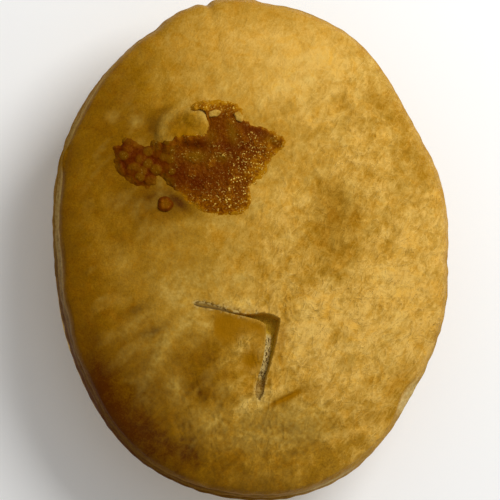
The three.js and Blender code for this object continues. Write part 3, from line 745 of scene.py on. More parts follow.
class SlitCut:
    """The slit on the crust's grid: snaps nearby grid points to its outline, and gives the crust's
    height there and the fields of the slit's finish."""

    def __init__(self, x, y):
        (left, low), (right, high) = SLIT_BOX
        self.count = len(x)
        self.near = np.flatnonzero((x > left) & (x < right) & (y > low) & (y < high))
        near_x, near_y = x[self.near], y[self.near]
        self.from_flap, flap_x, flap_y = nearest_on_line(near_x, near_y, FLAP_LINE)
        self.from_lid, lid_x, lid_y = nearest_on_line(near_x, near_y, LID_LINE)
        on_flap = (self.from_flap < SLIT_SNAP) & (self.from_flap <= self.from_lid)
        on_lid = (self.from_lid < SLIT_SNAP) & ~on_flap
        self.inside = inside(near_x, near_y, SLIT_OUTLINE) & ~(on_flap | on_lid)
        self.on_flap = on_flap | (inside(near_x, near_y, FLAP_LINE) & ~self.inside & ~on_lid)
        self.x = np.where(on_flap, flap_x, np.where(on_lid, lid_x, near_x))
        self.y = np.where(on_flap, flap_y, np.where(on_lid, lid_y, near_y))
        x[self.near] = self.x
        y[self.near] = self.y

    def carve(self, z):
        """Lifts the flap and sinks the slit: the highest of the floor, the steep lid wall and the flap's cut
        face, which is steep along the upper cut and slopes along the other one."""
        height = z[self.near]
        lifted = height + SLIT_FLAP_LIFT * ease(flap_part(self.x, self.y), 0.0, 1.0)
        to_pore, _ = cells(self.x, self.y, size=PORE_SIZE, seed=5)
        pores = PORE_DEPTH * (1.0 - limited(to_pore / 0.55))
        face_width = blend(SLIT_WALL_WIDTH, SLIT_FACE_WIDTH, ease(-self.y, 20.5, 23.5))
        shallow = np.maximum(0.96 * ease(-self.x, 1.0, 9.0), 0.72 * ease(-self.y, 31.0, 37.0))
        floor = height - SLIT_DEPTH * (1.0 - shallow) - 0.4 * pores
        face = lifted - SLIT_DEPTH * self.from_flap / face_width - pores
        wall = height - SLIT_DEPTH * self.from_lid / SLIT_WALL_WIDTH
        sunk = np.maximum(np.maximum(face, wall), floor)
        z[self.near] = np.where(self.inside, sunk, np.where(self.on_flap, lifted, height))

    def whole(self, values):
        """Values of the nearby grid points, put in their places in the whole grid."""
        grid = np.zeros(self.count)
        grid[self.near] = values
        return grid

    def ends(self):
        """1 near both ends of the slit, where it is a rough shallow tear, and 0 round its corner."""
        return np.maximum(ease(-self.x, 5.0, 9.0), ease(-self.y, 32.5, 35.0))

    def crumb(self):
        """How much of the pale crumb shows: on the flap's sloped face, at both ends, and in specks on the
        slit's borders."""
        face = 1.0 - ease(self.from_flap, 1.6, 2.1)
        face = face * ease(-self.y, 22.2, 23.6) * (1.0 - ease(-self.y, 33.0, 34.4))
        left_end = 0.75 * ease(-self.x, 5.0, 8.0) * (1.0 - ease(self.from_lid, 0.3, 0.8))
        lower_end = 0.32 * ease(-self.y, 32.5, 34.0)
        specks = ease(cloudy(self.x, self.y, size=1.2, seed=401, octaves=2), -0.25, 0.2)
        border = bell(np.minimum(self.from_flap, self.from_lid), 0.4) * self.ends()
        fringe = bell(self.from_lid, 0.9) * ease(self.x, -10.0, -7.0) * (1.0 - ease(self.x, -0.5, 1.5))
        border = np.maximum(0.6 * border, fringe * ease(self.y, -20.0, -19.0)) * specks
        return self.whole(np.where(self.inside, np.maximum(face, np.maximum(left_end, lower_end)), border))

    def hollow(self):
        """How much of the moist underside of the pastry shows: inside the slit, round its corner."""
        return self.whole(self.inside * (1.0 - self.ends()))

    def tear(self):
        """1 inside the slit's torn ends."""
        return self.whole(self.inside * self.ends())

    def gap(self):
        """Painted shade: the dark line along the flap's side of the left end, and the dark tip of the lower
        end.
        """
        line = blend(0.55, 1.0, 1.0 - ease(self.from_flap, 0.35, 0.7)) * ease(-self.x, 4.0, 6.0)
        line = line * ease(self.from_lid, 0.1, 0.5)
        tip = 0.7 * ease(-self.y, 36.5, 38.5)
        return self.whole(np.where(self.inside, np.maximum(line, tip), 0.0))

    def stain(self):
        """The smooth amber patch on the flap, with a clean edge on its left, less the rough stripe."""
        patch = limited(1.5 * spots(self.x, self.y, STAIN_MARKS))
        stripe = limited(spots(self.x, self.y, ((*FLAP_STRIPE, 1.08),)))
        return self.whole(patch * ease(self.x, -10.9, -10.1) * self.on_flap * (1.0 - stripe))


def shaded_side(x, y):
    """Distance from the middle towards the side that browned most and lies in shade, darkened by browning and
    by painted shade.
    """
    return -(x * math.cos(BROWN_AND_SHADE_HEADING) + y * math.sin(BROWN_AND_SHADE_HEADING))


def sunny_side(angle):
    """1 round the lit half of the pie, away from the browned and painted-shade side, and 0 round the other
    half.
    """
    return ease(np.cos(angle - BROWN_AND_SHADE_HEADING), -0.3, 0.4)


def edge_points(angle, layer_depth):
    """The cut edge from under the skin down to the seam, with the share of its height at each point:
    puffed layers that stand out and in as a cosine of the height, with torn flakes of noise drawn out
    along the edge. It leans outwards, and rounds over on the side away from the browning."""
    turn, part = np.meshgrid(angle, np.linspace(1.0, 0.0, EDGE_ROWS + 1)[1:])
    puff = -np.cos(2.0 * np.pi * EDGE_LAYERS * part + 0.5 * np.sin(5.0 * turn))
    puff = puff * (1.0 - ease(part, 0.9, 1.0)) * layer_depth * (1.0 + 0.8 * np.cos(4.0 * turn + 3.0 * part))
    arc = (turn / (2.0 * np.pi)) % 1.0 * ROUND_CELLS
    flakes = 0.30 * smooth_noise(arc, 7.0 * part, seed=61, wrap=ROUND_CELLS) * (1.0 - ease(part, 0.85, 1.0))
    lean = blend(1.0 - part, 1.0 - part**3, sunny_side(turn))
    radius = blend(skin_radius(turn), crust_radius(turn), lean) + puff + flakes
    return turned(radius, turn, blend(SEAM_GAP, edge_height(turn), part)), part


def underside_points(angle):
    """The crust's underside, which follows the heap from the edge inwards."""
    turn, part = np.meshgrid(angle, np.linspace(1.0, 0.0, UNDERSIDE_ROWS + 2)[1:-1])
    return turned(part * (outline_radius(turn) - RIM_INSET), turn, heap_top(part) + SEAM_GAP)


def crust_mottles(x, y):
    """How strongly the skin is mottled: calm at the upper left, lively at the lower right and in rough
    marks."""
    return 0.65 + 0.75 * ease(x - 0.5 * y, -15.0, 20.0) + spots(x, y, ROUGH_MARKS)


def crust_bake_and_shade(x, y, part, ridge):
    """How dark the crust's colour is, from 0 to 1: browner towards the rim, darker towards one side from
    browning and painted shade, with clouds and marks (some of them painted shade), and lighter on its ridges
    and darker between them as painted light and shade."""
    # Darker towards the shaded side: partly browning, partly painted shade
    bake = BROWN_MIDDLE + BROWN_AND_SHADE_SLOPE * shaded_side(x, y) + BROWN_RIM * ease(part, 0.7, 1.0)
    bake += spots(x, y, BROWNER_MARKS)
    calm = 1.0 - 0.6 * ease(bake, 0.6, 0.9)
    clouds = 0.08 * cloudy(x, y, size=16.0, seed=101)
    clouds += 0.14 * crust_mottles(x, y) * cloudy(x, y, size=5.0, seed=131)
    # Lighter on the wrinkles' ridges and darker between them: painted light and shade
    return limited(bake + calm * clouds - 0.26 * (ridge - 0.3))


def crust_dust_and_glint(x, y, part):
    """How much dry flour shows in the colour: marks, a few of them painted highlights, and cloudy streaks
    along the lean.
    """
    along, across = along_lean(x, y)
    patches = 0.30 * ease(cloudy(along / 2.2, across, size=4.5, seed=151, octaves=4), 0.05, 0.45)
    patches = patches * (1.0 - ease(part, 0.82, 0.96)) * (1.0 - 0.7 * ease(y, 36.0, 50.0))
    return np.clip(patches + spots(x, y, PALER_MARKS), -0.3, 1.0)


def skin_fields(x, y, part, ridge, slit):
    """Finish fields of the crust's top skin, with the slit's own ones."""
    # A brown glaze along the vent flap's torn front: painted shade on its shaded wall
    torn_front_shade = bell(y - vent_front(x), 0.5) * (np.abs(x - VENT_X) < VENT_HALF_WIDTH)
    return {
        "bake": blend(crust_bake_and_shade(x, y, part, ridge), BROWN_TEAR, slit.tear()),
        "glaze": limited(spots(x, y, GLAZE_MARKS) + 0.9 * slit.stain() + 0.8 * torn_front_shade),
        "dust": crust_dust_and_glint(x, y, part),
        "mottles": crust_mottles(x, y),
        "grease": limited(spots(x, y, GREASE_AND_SHADE_MARKS)),
        "crumb": slit.crumb(),
        "hollow": slit.hollow(),
        "gap": slit.gap(),
    }


def edge_fields(angle, part, skin_bake_and_shade):
    """Finish fields of the cut edge: striped by its layers and darker low down on the shaded side from
    browning and painted shade, with a painted shadow just under the skin there; like the skin above it on the
    other side;
    with crumb that shows in places and a painted highlight line halfway up."""
    brown = round_marks(angle, EDGE_BROWN_AND_SHADE)
    sunny = sunny_side(angle)
    # Layer stripes, and a dark band just under the skin on the shaded side that is a painted shadow
    stripes = 0.10 * np.cos(2.0 * np.pi * EDGE_LAYERS * part) + 0.3 * brown * ease(part, 0.88, 0.98)
    bake = blend(0.40 + brown + stripes + 0.15 * (1.0 - part), skin_bake_and_shade, sunny)
    crumb = (0.05 + round_marks(angle, EDGE_CRUMB)) * blend(0.35, 1.0, ease(part, 0.3, 0.6))
    # A pale line halfway up the edge: a painted highlight
    crumb += round_marks(angle, EDGE_HIGHLIGHT) * np.maximum(bell(part - 0.5, 0.15), 0.3 * (part < 0.5))
    glaze = np.tile(0.2 * sunny, EDGE_ROWS)
    return {"bake": limited(bake).ravel(), "side": limited(crumb).ravel(), "glaze": glaze, "mottles": 1.0}


def joined_fields(parts):
    """Fields of a piece's parts, one after another. Each part gives its number of points and its
    fields, and a field that it lacks is 0 there."""
    names = {name for _, fields in parts for name in fields}
    return {
        name: np.concatenate([np.broadcast_to(fields.get(name, 0.0), count) for count, fields in parts])
        for name in sorted(names)
    }


def crust_skin(wrinkle_depth):
    """The crust's top: points, quads, point numbers round its rim, and finish fields. Grid points near
    the vent flap's front move onto it."""
    x, y, part = crust_grid()
    rows, columns = x.shape
    x, y, part = x.ravel(), y.ravel(), part.ravel()
    front = vent_front(x)
    on_front = (np.abs(y - front) < 0.5 * GRID_SPACING) & (np.abs(x - VENT_X) < VENT_HALF_WIDTH)
    y = np.where(on_front, front, y)
    slit = SlitCut(x, y)
    relief, ridge = skin_relief(x, y, part, wrinkle_depth)
    z = crust_top(x, y) + relief + folds(x, y) + vent_height(x, y)
    slit.carve(z)
    loop = boundary_loop(rows, columns)
    z[loop] = edge_height(np.arctan2(y[loop], x[loop]))
    points = np.stack([x, y, z], axis=-1)
    return points, grid_quads(rows, columns), loop, skin_fields(x, y, part, ridge, slit)


def build_crust(settings):
    """The crust's points, faces and finish fields: grid on top, cut edge, underside, middle point."""
    top, top_quads, loop, skin = crust_skin(settings.wrinkle_depth / MM)
    angle = np.arctan2(top[loop, 1], top[loop, 0])
    edge, edge_part = edge_points(angle, settings.layer_depth / MM)
    under = underside_points(angle)
    middle = [[0.0, 0.0, heap_top(0.0) + SEAM_GAP]]
    points = np.concatenate([top, edge.reshape(-1, 3), under.reshape(-1, 3), middle])
    rings = len(top) + np.arange((EDGE_ROWS + UNDERSIDE_ROWS) * len(loop)).reshape(-1, len(loop))
    rings = np.concatenate([loop[None, :], rings])
    quads = np.concatenate([top_quads, band_quads(rings)])
    triangles = fan_triangles(rings[-1], len(points) - 1)
    fields = joined_fields((
        (len(top), skin),
        (edge_part.size, edge_fields(angle, edge_part, skin["bake"][loop])),
        (len(points) - len(top) - edge_part.size, {"bake": BROWN_UNDER, "mottles": 1.0}),
    ))
    return points, quads, triangles, fields


# Base

def steps_up(count):
    """Equal steps up to 1, without the 0 that they start from."""
    return np.linspace(0.0, 1.0, count + 1)[1:]


def base_profile():
    """Rows of the base from the middle of its underside to the top of its heap, as a share of the radius, an
    inset from the outline and a height: foot, its rounding, bellied side, lip, rim band and heap."""
    foot = np.arange(FOOT_ROWS) / FOOT_ROWS
    turn = np.linspace(0.0, np.pi / 2.0, ROUNDING_ROWS)
    side = steps_up(SIDE_ROWS)
    lip = steps_up(LIP_ROWS)
    heap = 1.0 - steps_up(HEAP_ROWS)
    side_inset = blend(FOOT_INSET, RIM_INSET + RIM_LIP, side) - SIDE_BELLY * np.sin(np.pi * side)
    stretches = (
        (foot, FOOT_INSET + FOOT_ROUND, 0.0),
        (1.0, FOOT_INSET + FOOT_ROUND * (1.0 - np.sin(turn)), FOOT_ROUND * (1.0 - np.cos(turn))),
        (1.0, side_inset, blend(FOOT_ROUND, RIM_FOOT - RIM_LIP, side)),
        (1.0, RIM_INSET + RIM_LIP * (1.0 - lip), RIM_FOOT - RIM_LIP * (1.0 - lip)),
        (1.0, RIM_INSET, blend(RIM_FOOT, SEAM_HEIGHT, steps_up(BAND_ROWS))),
        (heap, RIM_INSET, SEAM_HEIGHT + heap_top(heap)),
    )
    rows = [np.broadcast_arrays(*stretch) for stretch in stretches]
    return [np.concatenate(group)[:, None] for group in zip(*rows)]


def base_relief(arc, height):
    """How far the base's skin stands out: ripples and pits of noise on the side, and thin torn layers on the
    rim band."""
    on_side = ease(height, 1.0, 4.0) * (height <= SEAM_HEIGHT + TOUCH)
    on_band = ease(height, RIM_FOOT - 1.0, RIM_FOOT + 0.5) * on_side
    ripples = 0.30 * smooth_noise(arc / 2.0, height / 7.0, seed=211, wrap=ROUND_CELLS // 2)
    pits = 0.16 * smooth_noise(arc, height / 2.2, seed=223, wrap=ROUND_CELLS)
    pits += 0.10 * smooth_noise(2.0 * arc, height / 1.1, seed=227, wrap=2 * ROUND_CELLS)
    torn = 0.22 * smooth_noise(arc, height / 0.8, seed=229, wrap=ROUND_CELLS)
    return on_side * (ripples + pits) * (1.0 - on_band) + on_band * torn


def base_bake_and_shade(x, y, z):
    """How dark the base's colour is, from 0 to 1: darker on the shaded side from browning and painted shade,
    browner at the foot, paler on the rim band, with clouds."""
    clouds = cloudy(np.arctan2(y, x) * 20.0, z, size=9.0, seed=241)
    # Darker towards the shaded side: partly browning, partly painted shade
    bake = 0.40 + 0.12 * ease(shaded_side(x, y), -30.0, 55.0) + 0.35 * clouds
    bake += 0.18 * (1.0 - ease(z, 0.0, 7.0)) - 0.10 * ease(z, RIM_FOOT - 1.0, RIM_FOOT)
    return limited(bake)


def build_base():
    """The base's points, faces and finish fields: the profile carried round the outline, with its relief."""
    spokes = np.linspace(0.0, 2.0 * np.pi, BASE_SPOKES, endpoint=False)
    part, inset, height, angle = np.broadcast_arrays(*base_profile(), spokes)
    waviness = limited(blend(FOOT_WAVES, 1.0, height / SEAM_HEIGHT))
    radius = part * (outline_radius(angle, waviness) - inset)
    radius = radius + base_relief(angle / (2.0 * np.pi) * ROUND_CELLS, height)
    skin = turned(radius, angle, height)[1:-1].reshape(-1, 3)
    tips = [[0.0, 0.0, 0.0], [0.0, 0.0, SEAM_HEIGHT + heap_top(0.0)]]
    points = np.concatenate([skin, tips])
    rings = np.arange(len(skin)).reshape(-1, BASE_SPOKES)
    triangles = np.concatenate([
        fan_triangles(rings[0], len(skin)), fan_triangles(rings[-1], len(skin) + 1)[:, ::-1],
    ])
    return points, band_quads(rings)[:, ::-1], triangles, {"bake": base_bake_and_shade(*points.T)}


# Cheese

def closed_curve(corners, steps=5):
    """A smooth closed line: quadratic curves from halfway along one side to halfway along the next."""
    corners = np.array(corners)
    middles = (corners + np.roll(corners, -1, axis=0)) / 2.0
    bends = np.empty((2 * len(corners) + 1, 2))
    bends[0::2] = np.concatenate([middles[-1:], middles])
    bends[1::2] = corners
    return bent_line(bends, steps)


def depth_inside(x, y, outline):
    """Distance to a closed line, above 0 inside it and below 0 outside."""
    away, _, _ = nearest_on_line(x, y, outline)
    return np.where(inside(x, y, outline), away, -away)


def dome_of(x, y, size, seed):
    """Round bubble tops from 0 to 1, one for each random point, and the point's number: a half ball on the
    distance to the point."""
    away, number = cells(x, y, size, seed)
    return np.sqrt(limited(1.0 - (away / 0.66) ** 2)) * (0.65 + 0.35 * number), number


class CheeseSheet:
    """The cheese over a grid of places: a cluster of large bubbles on the left, foam along the borders, and a
    fine crust with lone bubbles and with clear and dark places between them."""

    def __init__(self, x, y, away):
        self.x = x
        self.y = y
        self.cluster = ease(-x, 18.5, 21.5)
        self.big, self.big_number = dome_of(x, y, size=2.2, seed=321)
        self.small, _ = dome_of(x, y, size=1.2, seed=327)
        self.fine, _ = dome_of(x, y, size=0.9, seed=341)
        lone, lone_number = dome_of(x, y, size=1.9, seed=331)
        self.lone = lone * (lone_number > 0.7) * (1.0 - self.cluster)
        self.clear = limited(spots(x, y, CHEESE_CLEAR))
        self.away = away + 0.8 * self.cluster * (self.big - 0.6)
        self.front = vent_front(x)
        self.skirt = ease(y, self.front - CHEESE_SKIRT_WIDTH, self.front)

    def depth(self, bubble_rise, crag_depth):
        """Depth over the crust: it grows from the border inwards as 1 - exp(-distance), with bubbles
        and crags on it, and climbs to the front of the vent flap."""
        fine_part = 1.0 - self.cluster
        bubbles = self.cluster * (0.70 * self.big + 0.25 * self.small) + 0.6 * self.lone
        bubbles += fine_part * blend(0.3 * self.fine, 0.5, self.clear)
        crags = fine_part * cloudy(self.x, self.y, size=2.2, seed=351)
        brim = CHEESE_SKIRT * self.skirt * vent_height(self.x, self.front + 0.05)
        bumps = bubble_rise * bubbles + crag_depth * crags + brim
        depth = CHEESE_DEPTH * (1.0 - np.exp(-np.clip(self.away, 0.0, None) / CHEESE_EDGE))
        return depth + bumps * ease(self.away, 0.0, 1.2) + np.clip(self.away, None, 0.0)

    def fields(self):
        """Finish fields, from 0 to 1: how browned the cheese is, how many painted highlights it gets, and how
        clear it is.
        """
        x, y, cluster = self.x, self.y, self.cluster
        foam_and_glints = limited(ease(y, 31.6, 33.0) + spots(x, y, CHEESE_FOAM)) * (1.0 - cluster)
        skirt = self.skirt * bell((x - VENT_X) / VENT_HALF_WIDTH, 0.9)
        char = 0.66 + spots(x, y, CHEESE_DARK)
        char += 0.12 * cloudy(x, y, size=4.0, seed=371) + 0.16 * cloudy(x, y, size=1.3, seed=381)
        char += cluster * (0.34 - 0.30 * self.big - 0.10 * self.small)
        char -= 0.26 * foam_and_glints + 0.25 * skirt + 0.15 * self.lone
        char -= 0.50 * (1.0 - ease(self.away, 0.0, 1.7)) * (1.0 - 0.8 * cluster)
        # Where the painted highlights go: more on lone bubbles and on the tops of the big bubbles
        sparkle = 0.08 + spots(x, y, CHEESE_SPARKLE) + 0.4 * self.lone
        sparkle += cluster * (0.45 * ease(self.big, 0.7, 0.9) - 0.15)
        thin = 0.20 * (1.0 - ease(self.away, 0.0, 1.4))
        clear_bubbles = (0.15 + 0.65 * self.big_number) * ease(self.big, 0.3, 0.8)
        clear = self.clear + cluster * (clear_bubbles + thin)
        return {"char": limited(char), "sparkle": limited(sparkle), "clear": limited(clear)}


def build_cheese(settings):
    """The cheese's points, faces and finish fields: a sheet over a square grid that dips under the crust
    outside its outline, closed by a floor and by walls round the squares that are kept."""
    outline = closed_curve(CHEESE_OUTLINE)
    low, high = outline.min(axis=0) - 1.0, outline.max(axis=0) + 1.0
    columns = np.arange(low[0], high[0], CHEESE_SPACING)
    rows = np.arange(low[1], high[1], CHEESE_SPACING)
    x, y = (places.ravel() for places in np.meshgrid(columns, rows))
    ragged_x = x + CHEESE_RAGGED * cloudy(x, y, size=1.5, seed=301)
    ragged_y = y + CHEESE_RAGGED * cloudy(x, y, size=1.5, seed=311)
    away = depth_inside(ragged_x, ragged_y, outline)
    sheet = CheeseSheet(x, y, away)
    depth = sheet.depth(settings.bubble_rise / MM, settings.crag_depth / MM)
    reached = (vent_height(x, y) < CHEESE_FLAP_LIMIT) | (y < sheet.front + CHEESE_UNDER_FLAP)
    kept = ((away > -CHEESE_MARGIN) & reached).reshape(len(rows), len(columns))
    squares = kept[:-1, :-1] & kept[:-1, 1:] & kept[1:, 1:] & kept[1:, :-1]
    under = crust_top(x, y)
    upper = np.stack([x, y, under + depth], axis=-1)
    lower = np.stack([x, y, under - CHEESE_FLOOR], axis=-1)
    used, quads = np.unique(closed_sheet(squares), return_inverse=True)
    points = np.concatenate([upper, lower])[used]
    fields = {name: np.tile(values, 2)[used] for name, values in sheet.fields().items()}
    return points, quads.reshape(-1, 4), np.zeros((0, 3), int), fields


def closed_sheet(squares):
    """Faces of a sheet over the true squares of a grid: top, floor and a wall wherever a neighbour
    is missing. The floor's point numbers follow the top's."""
    rows, columns = squares.shape
    number = np.arange((rows + 1) * (columns + 1)).reshape(rows + 1, columns + 1)
    low_left, low_right = number[:-1, :-1], number[:-1, 1:]
    high_left, high_right = number[1:, :-1], number[1:, 1:]
    floor = number.size
    padded = np.pad(squares, 1)
    top = np.stack([low_left, low_right, high_right, high_left], axis=-1)[squares]
    faces = [top, top[:, ::-1] + floor]
    sides = (
        (padded[:-2, 1:-1], low_left, low_right), (padded[2:, 1:-1], high_right, high_left),
        (padded[1:-1, :-2], high_left, low_left), (padded[1:-1, 2:], low_right, high_right),
    )
    for neighbour, start, end in sides:
        open_side = squares & ~neighbour
        first, second = start[open_side], end[open_side]
        faces.append(np.stack([first + floor, second + floor, second, first], axis=-1))
    return np.concatenate(faces)


# Drop and chips

def lump(spokes, rows, radius_of, height_of, floor):
    """A closed lump on a polar grid, from its rim on the floor to its middle: points, quads, triangles
    and the share of the radius at each point."""
    directions = np.linspace(0.0, 2.0 * np.pi, spokes, endpoint=False)
    angle, part = np.meshgrid(directions, np.linspace(1.0, 0.0, rows + 1)[:-1])
    along, across = radius_of(angle)
    height = height_of(part, angle)
    height[0] = floor
    top = np.stack([part * along * np.cos(angle), part * across * np.sin(angle), height], axis=-1)
    tips = [[0.0, 0.0, height_of(0.0, 0.0)], [0.0, 0.0, floor]]
    points = np.concatenate([top.reshape(-1, 3), tips])
    rings = np.arange(part.size).reshape(part.shape)
    triangles = np.concatenate([
        fan_triangles(rings[-1], part.size)[:, ::-1], fan_triangles(rings[0], part.size + 1),
    ])
    return points, band_quads(rings)[:, ::-1], triangles, np.append(part, [0.0, 0.0])


def on_crust(x, y):
    """The point of the bare crust over a place."""
    return np.array([x, y, crust_top(x, y)])


def build_drop():
    """The drop's points, faces and finish fields: a low bead with a fried ring round a thinner middle."""
    def radius_of(angle):
        radius = DROP_RADIUS * (1.0 + 0.05 * np.cos(3.0 * angle + 0.4) + 0.03 * np.cos(5.0 * angle))
        return radius, radius

    def height_of(part, angle):
        bead = DROP_RISE * np.sqrt(limited(1.0 - part**2))
        hollow = 0.45 * bell(part, 0.55)
        knobs = 0.10 * np.sin(5.0 * angle + 1.0) * bell(part - 0.7, 0.3)
        return bead - hollow + knobs

    points, quads, triangles, part = lump(DROP_SPOKES, DROP_ROWS, radius_of, height_of, DROP_FLOOR)
    fields = {"char": 0.46 + 0.30 * bell(part - 0.80, 0.20), "clear": 0.5 * bell(part, 0.5)}
    return points + on_crust(*DROP_PLACE), quads, triangles, fields


def build_chips():
    """The chips' points, faces and finish fields: small torn lumps of pastry that lie on the cheese."""
    pieces = []
    count = 0
    for number, (place_x, place_y, half_length, half_width, turn) in enumerate(CHIPS):
        def radius_of(angle):
            torn = 1.0 + 0.13 * np.cos(2.0 * angle + number) + 0.06 * np.cos(5.0 * angle + 2.0 * number)
            return half_length * torn, half_width * torn

        def height_of(part, angle):
            knobs = 1.0 + 0.20 * np.cos(3.0 * angle + number) * part + 0.06 * np.cos(7.0 * angle) * part
            return CHIP_RISE * knobs * np.sqrt(limited(1.0 - part**3))

        points, quads, triangles, _ = lump(CHIP_SPOKES, CHIP_ROWS, radius_of, height_of, CHIP_FLOOR)
        spin = np.array(Matrix.Rotation(math.radians(turn), 3, "Z"))
        place = on_crust(place_x, place_y) + [0.0, 0.0, CHEESE_DEPTH]
        pieces.append((points @ spin.T + place, quads + count, triangles + count))
        count += len(points)
    points, quads, triangles = (np.concatenate(group) for group in zip(*pieces))
    fields = {"bake": np.full(count, 0.46), "dust": np.full(count, 0.5), "mottles": np.ones(count)}
    return points, quads, triangles, fields


# Finishes

def per_metre(size):
    """Scale of a pattern whose patches have a size in millimetres."""
    return 1.0 / (size * MM)


class Finish:
    """A material being made: each call adds one node or a few, and takes plain values or the outputs
    of earlier nodes."""

    def __init__(self, name, specular, tint=(1.0, 1.0, 1.0)):
        self.material = bpy.data.materials.new(name)
        self.material.use_nodes = True
        self.tree = self.material.node_tree
        self.shader = self.tree.nodes["Principled BSDF"]
        self.shader.inputs["Specular IOR Level"].default_value = specular
        self.shader.inputs["Specular Tint"].default_value = (*tint, 1.0)
        self.place = self.node("ShaderNodeTexCoord").outputs["Object"]

    def node(self, kind, inputs=(), **options):
        """Adds a node, sets its options and fills its sockets."""
        node = self.tree.nodes.new(kind)
        for option, value in options.items():
            setattr(node, option, value)
        for socket, value in dict(inputs).items():
            self.fill(node.inputs[socket], value)
        return node

    def fill(self, socket, value):
        """Puts a plain value into a socket, or links an output to it."""
        if isinstance(value, bpy.types.NodeSocket):
            self.tree.links.new(value, socket)
        else:
            socket.default_value = value

    def field(self, name):
        """One of the piece's own fields."""
        return self.node("ShaderNodeAttribute", attribute_name=name).outputs["Fac"]

    def leaning(self, degrees, drawn_out):
        """Places drawn out along a direction from +X, for noise in strokes."""
        turn = (0.0, 0.0, math.radians(degrees))
        inputs = {"Vector": self.place, "Rotation": turn, "Scale": (drawn_out, 1.0, 1.0)}
        return self.node("ShaderNodeMapping", inputs, vector_type="TEXTURE").outputs["Vector"]

    def noise(self, size, detail=2.0, rough=0.5, warp=0.0, place=None):
        """Noise with patches of a size in millimetres."""
        inputs = {
            "Vector": place or self.place, "Scale": per_metre(size), "Detail": detail, "Roughness": rough,
            "Distortion": warp,
        }
        return self.node("ShaderNodeTexNoise", inputs).outputs["Fac"]

    def swing(self, amount, size, **options):
        """Noise from minus an amount to plus it."""
        return self.stretch(self.noise(size, **options), (0.25, 0.75), (-amount, amount))

    def pits(self, size):
        """Distance to scattered points about a size in millimetres apart."""
        inputs = {"Vector": self.place, "Scale": per_metre(size)}
        return self.node("ShaderNodeTexVoronoi", inputs).outputs["Distance"]

    def ridges(self, size, warp, place):
        """Crooked lines: 1 along them and falling to 0 between them, about a size in millimetres apart."""
        noise = self.noise(size, warp=warp, place=place)
        away = self.arithmetic("ABSOLUTE", self.minus(noise, 0.5), 0.0)
        return self.stretch(away, (0.0, 0.11), (1.0, 0.0))

    def flakes(self, size, warp, place):
        """A number from 0 to 1 for each cell of crooked cells of a size in millimetres."""
        scale = per_metre(size)
        bend = self.node("ShaderNodeTexNoise", {"Vector": place, "Scale": scale, "Detail": 3.0})
        reach = (warp * size * MM,) * 3
        push = self.node("ShaderNodeVectorMath", {0: bend.outputs["Color"], 1: reach}, operation="MULTIPLY")
        moved = self.node("ShaderNodeVectorMath", {0: place, 1: push.outputs[0]}, operation="ADD")
        crooked = self.node("ShaderNodeTexVoronoi", {"Vector": moved.outputs[0], "Scale": scale})
        return self.node("ShaderNodeSeparateColor", {"Color": crooked.outputs["Color"]}).outputs["Red"]

    def arithmetic(self, operation, first, second):
        """Arithmetic on two numbers."""
        return self.node("ShaderNodeMath", {0: first, 1: second}, operation=operation).outputs[0]

    def plus(self, first, second):
        """Sum of two numbers."""
        return self.arithmetic("ADD", first, second)

    def minus(self, first, second):
        """First number less the second."""
        return self.arithmetic("SUBTRACT", first, second)

    def times(self, first, second):
        """Product of two numbers."""
        return self.arithmetic("MULTIPLY", first, second)

    def stretch(self, value, old_ends, new_ends=(0.0, 1.0)):
        """Carries a range of numbers over to another one, and stops at its ends."""
        sockets = ("From Min", "From Max", "To Min", "To Max")
        inputs = {"Value": value, **dict(zip(sockets, (*old_ends, *new_ends)))}
        return self.node("ShaderNodeMapRange", inputs).outputs["Result"]

    def ramp(self, value, stops):
        """Colours along a number from 0 to 1."""
        node = self.node("ShaderNodeValToRGB", {"Fac": value})
        elements = node.color_ramp.elements
        while len(elements) < len(stops):
            elements.new(0.5)
        for element, (position, tint) in zip(elements, stops):
            element.position = position
            element.color = (*tint, 1.0)
        return node.outputs["Color"]

    def mix(self, factor, first, second, blend_type="MIX"):
        """Mixes two colours."""
        inputs = {0: factor}
        for socket, tint in ((6, first), (7, second)):
            inputs[socket] = tint if isinstance(tint, bpy.types.NodeSocket) else (*tint, 1.0)
        return self.node("ShaderNodeMix", inputs, data_type="RGBA", blend_type=blend_type).outputs[2]

    def bump(self, height, distance, below=None):
        """Small relief from a height, over another relief if one is given."""
        inputs = {"Height": height, "Distance": distance, "Strength": 1.0}
        if below is not None:
            inputs["Normal"] = below
        return self.node("ShaderNodeBump", inputs).outputs["Normal"]

    def finish(self, base, roughness, normal):
        """Joins colour, roughness and relief to the shader."""
        self.fill(self.shader.inputs["Base Color"], base)
        self.fill(self.shader.inputs["Roughness"], roughness)
        self.fill(self.shader.inputs["Normal"], normal)
        return self.material


def pastry_stops(pastry):
    """Colours of pastry from barely baked to caught."""
    return (
        (0.0, pastry.cream), (0.25, pastry.gold), (0.5, pastry.amber), (0.75, pastry.brown),
        (0.88, pastry.umber), (1.0, pastry.dark),
    )


def crust_strokes(paint, leaning):
    """Short strokes along one lean, and along another one in some places."""
    look = {"size": 0.9, "detail": 3.0, "rough": 0.6, "warp": 0.8}
    strokes = paint.noise(**look, place=leaning)
    flatter = paint.noise(**look, place=paint.leaning(degrees=10.0, drawn_out=1.8))
    some_places = paint.stretch(paint.noise(size=7.0), (0.46, 0.58))
    return paint.plus(strokes, paint.times(paint.minus(flatter, strokes), some_places))


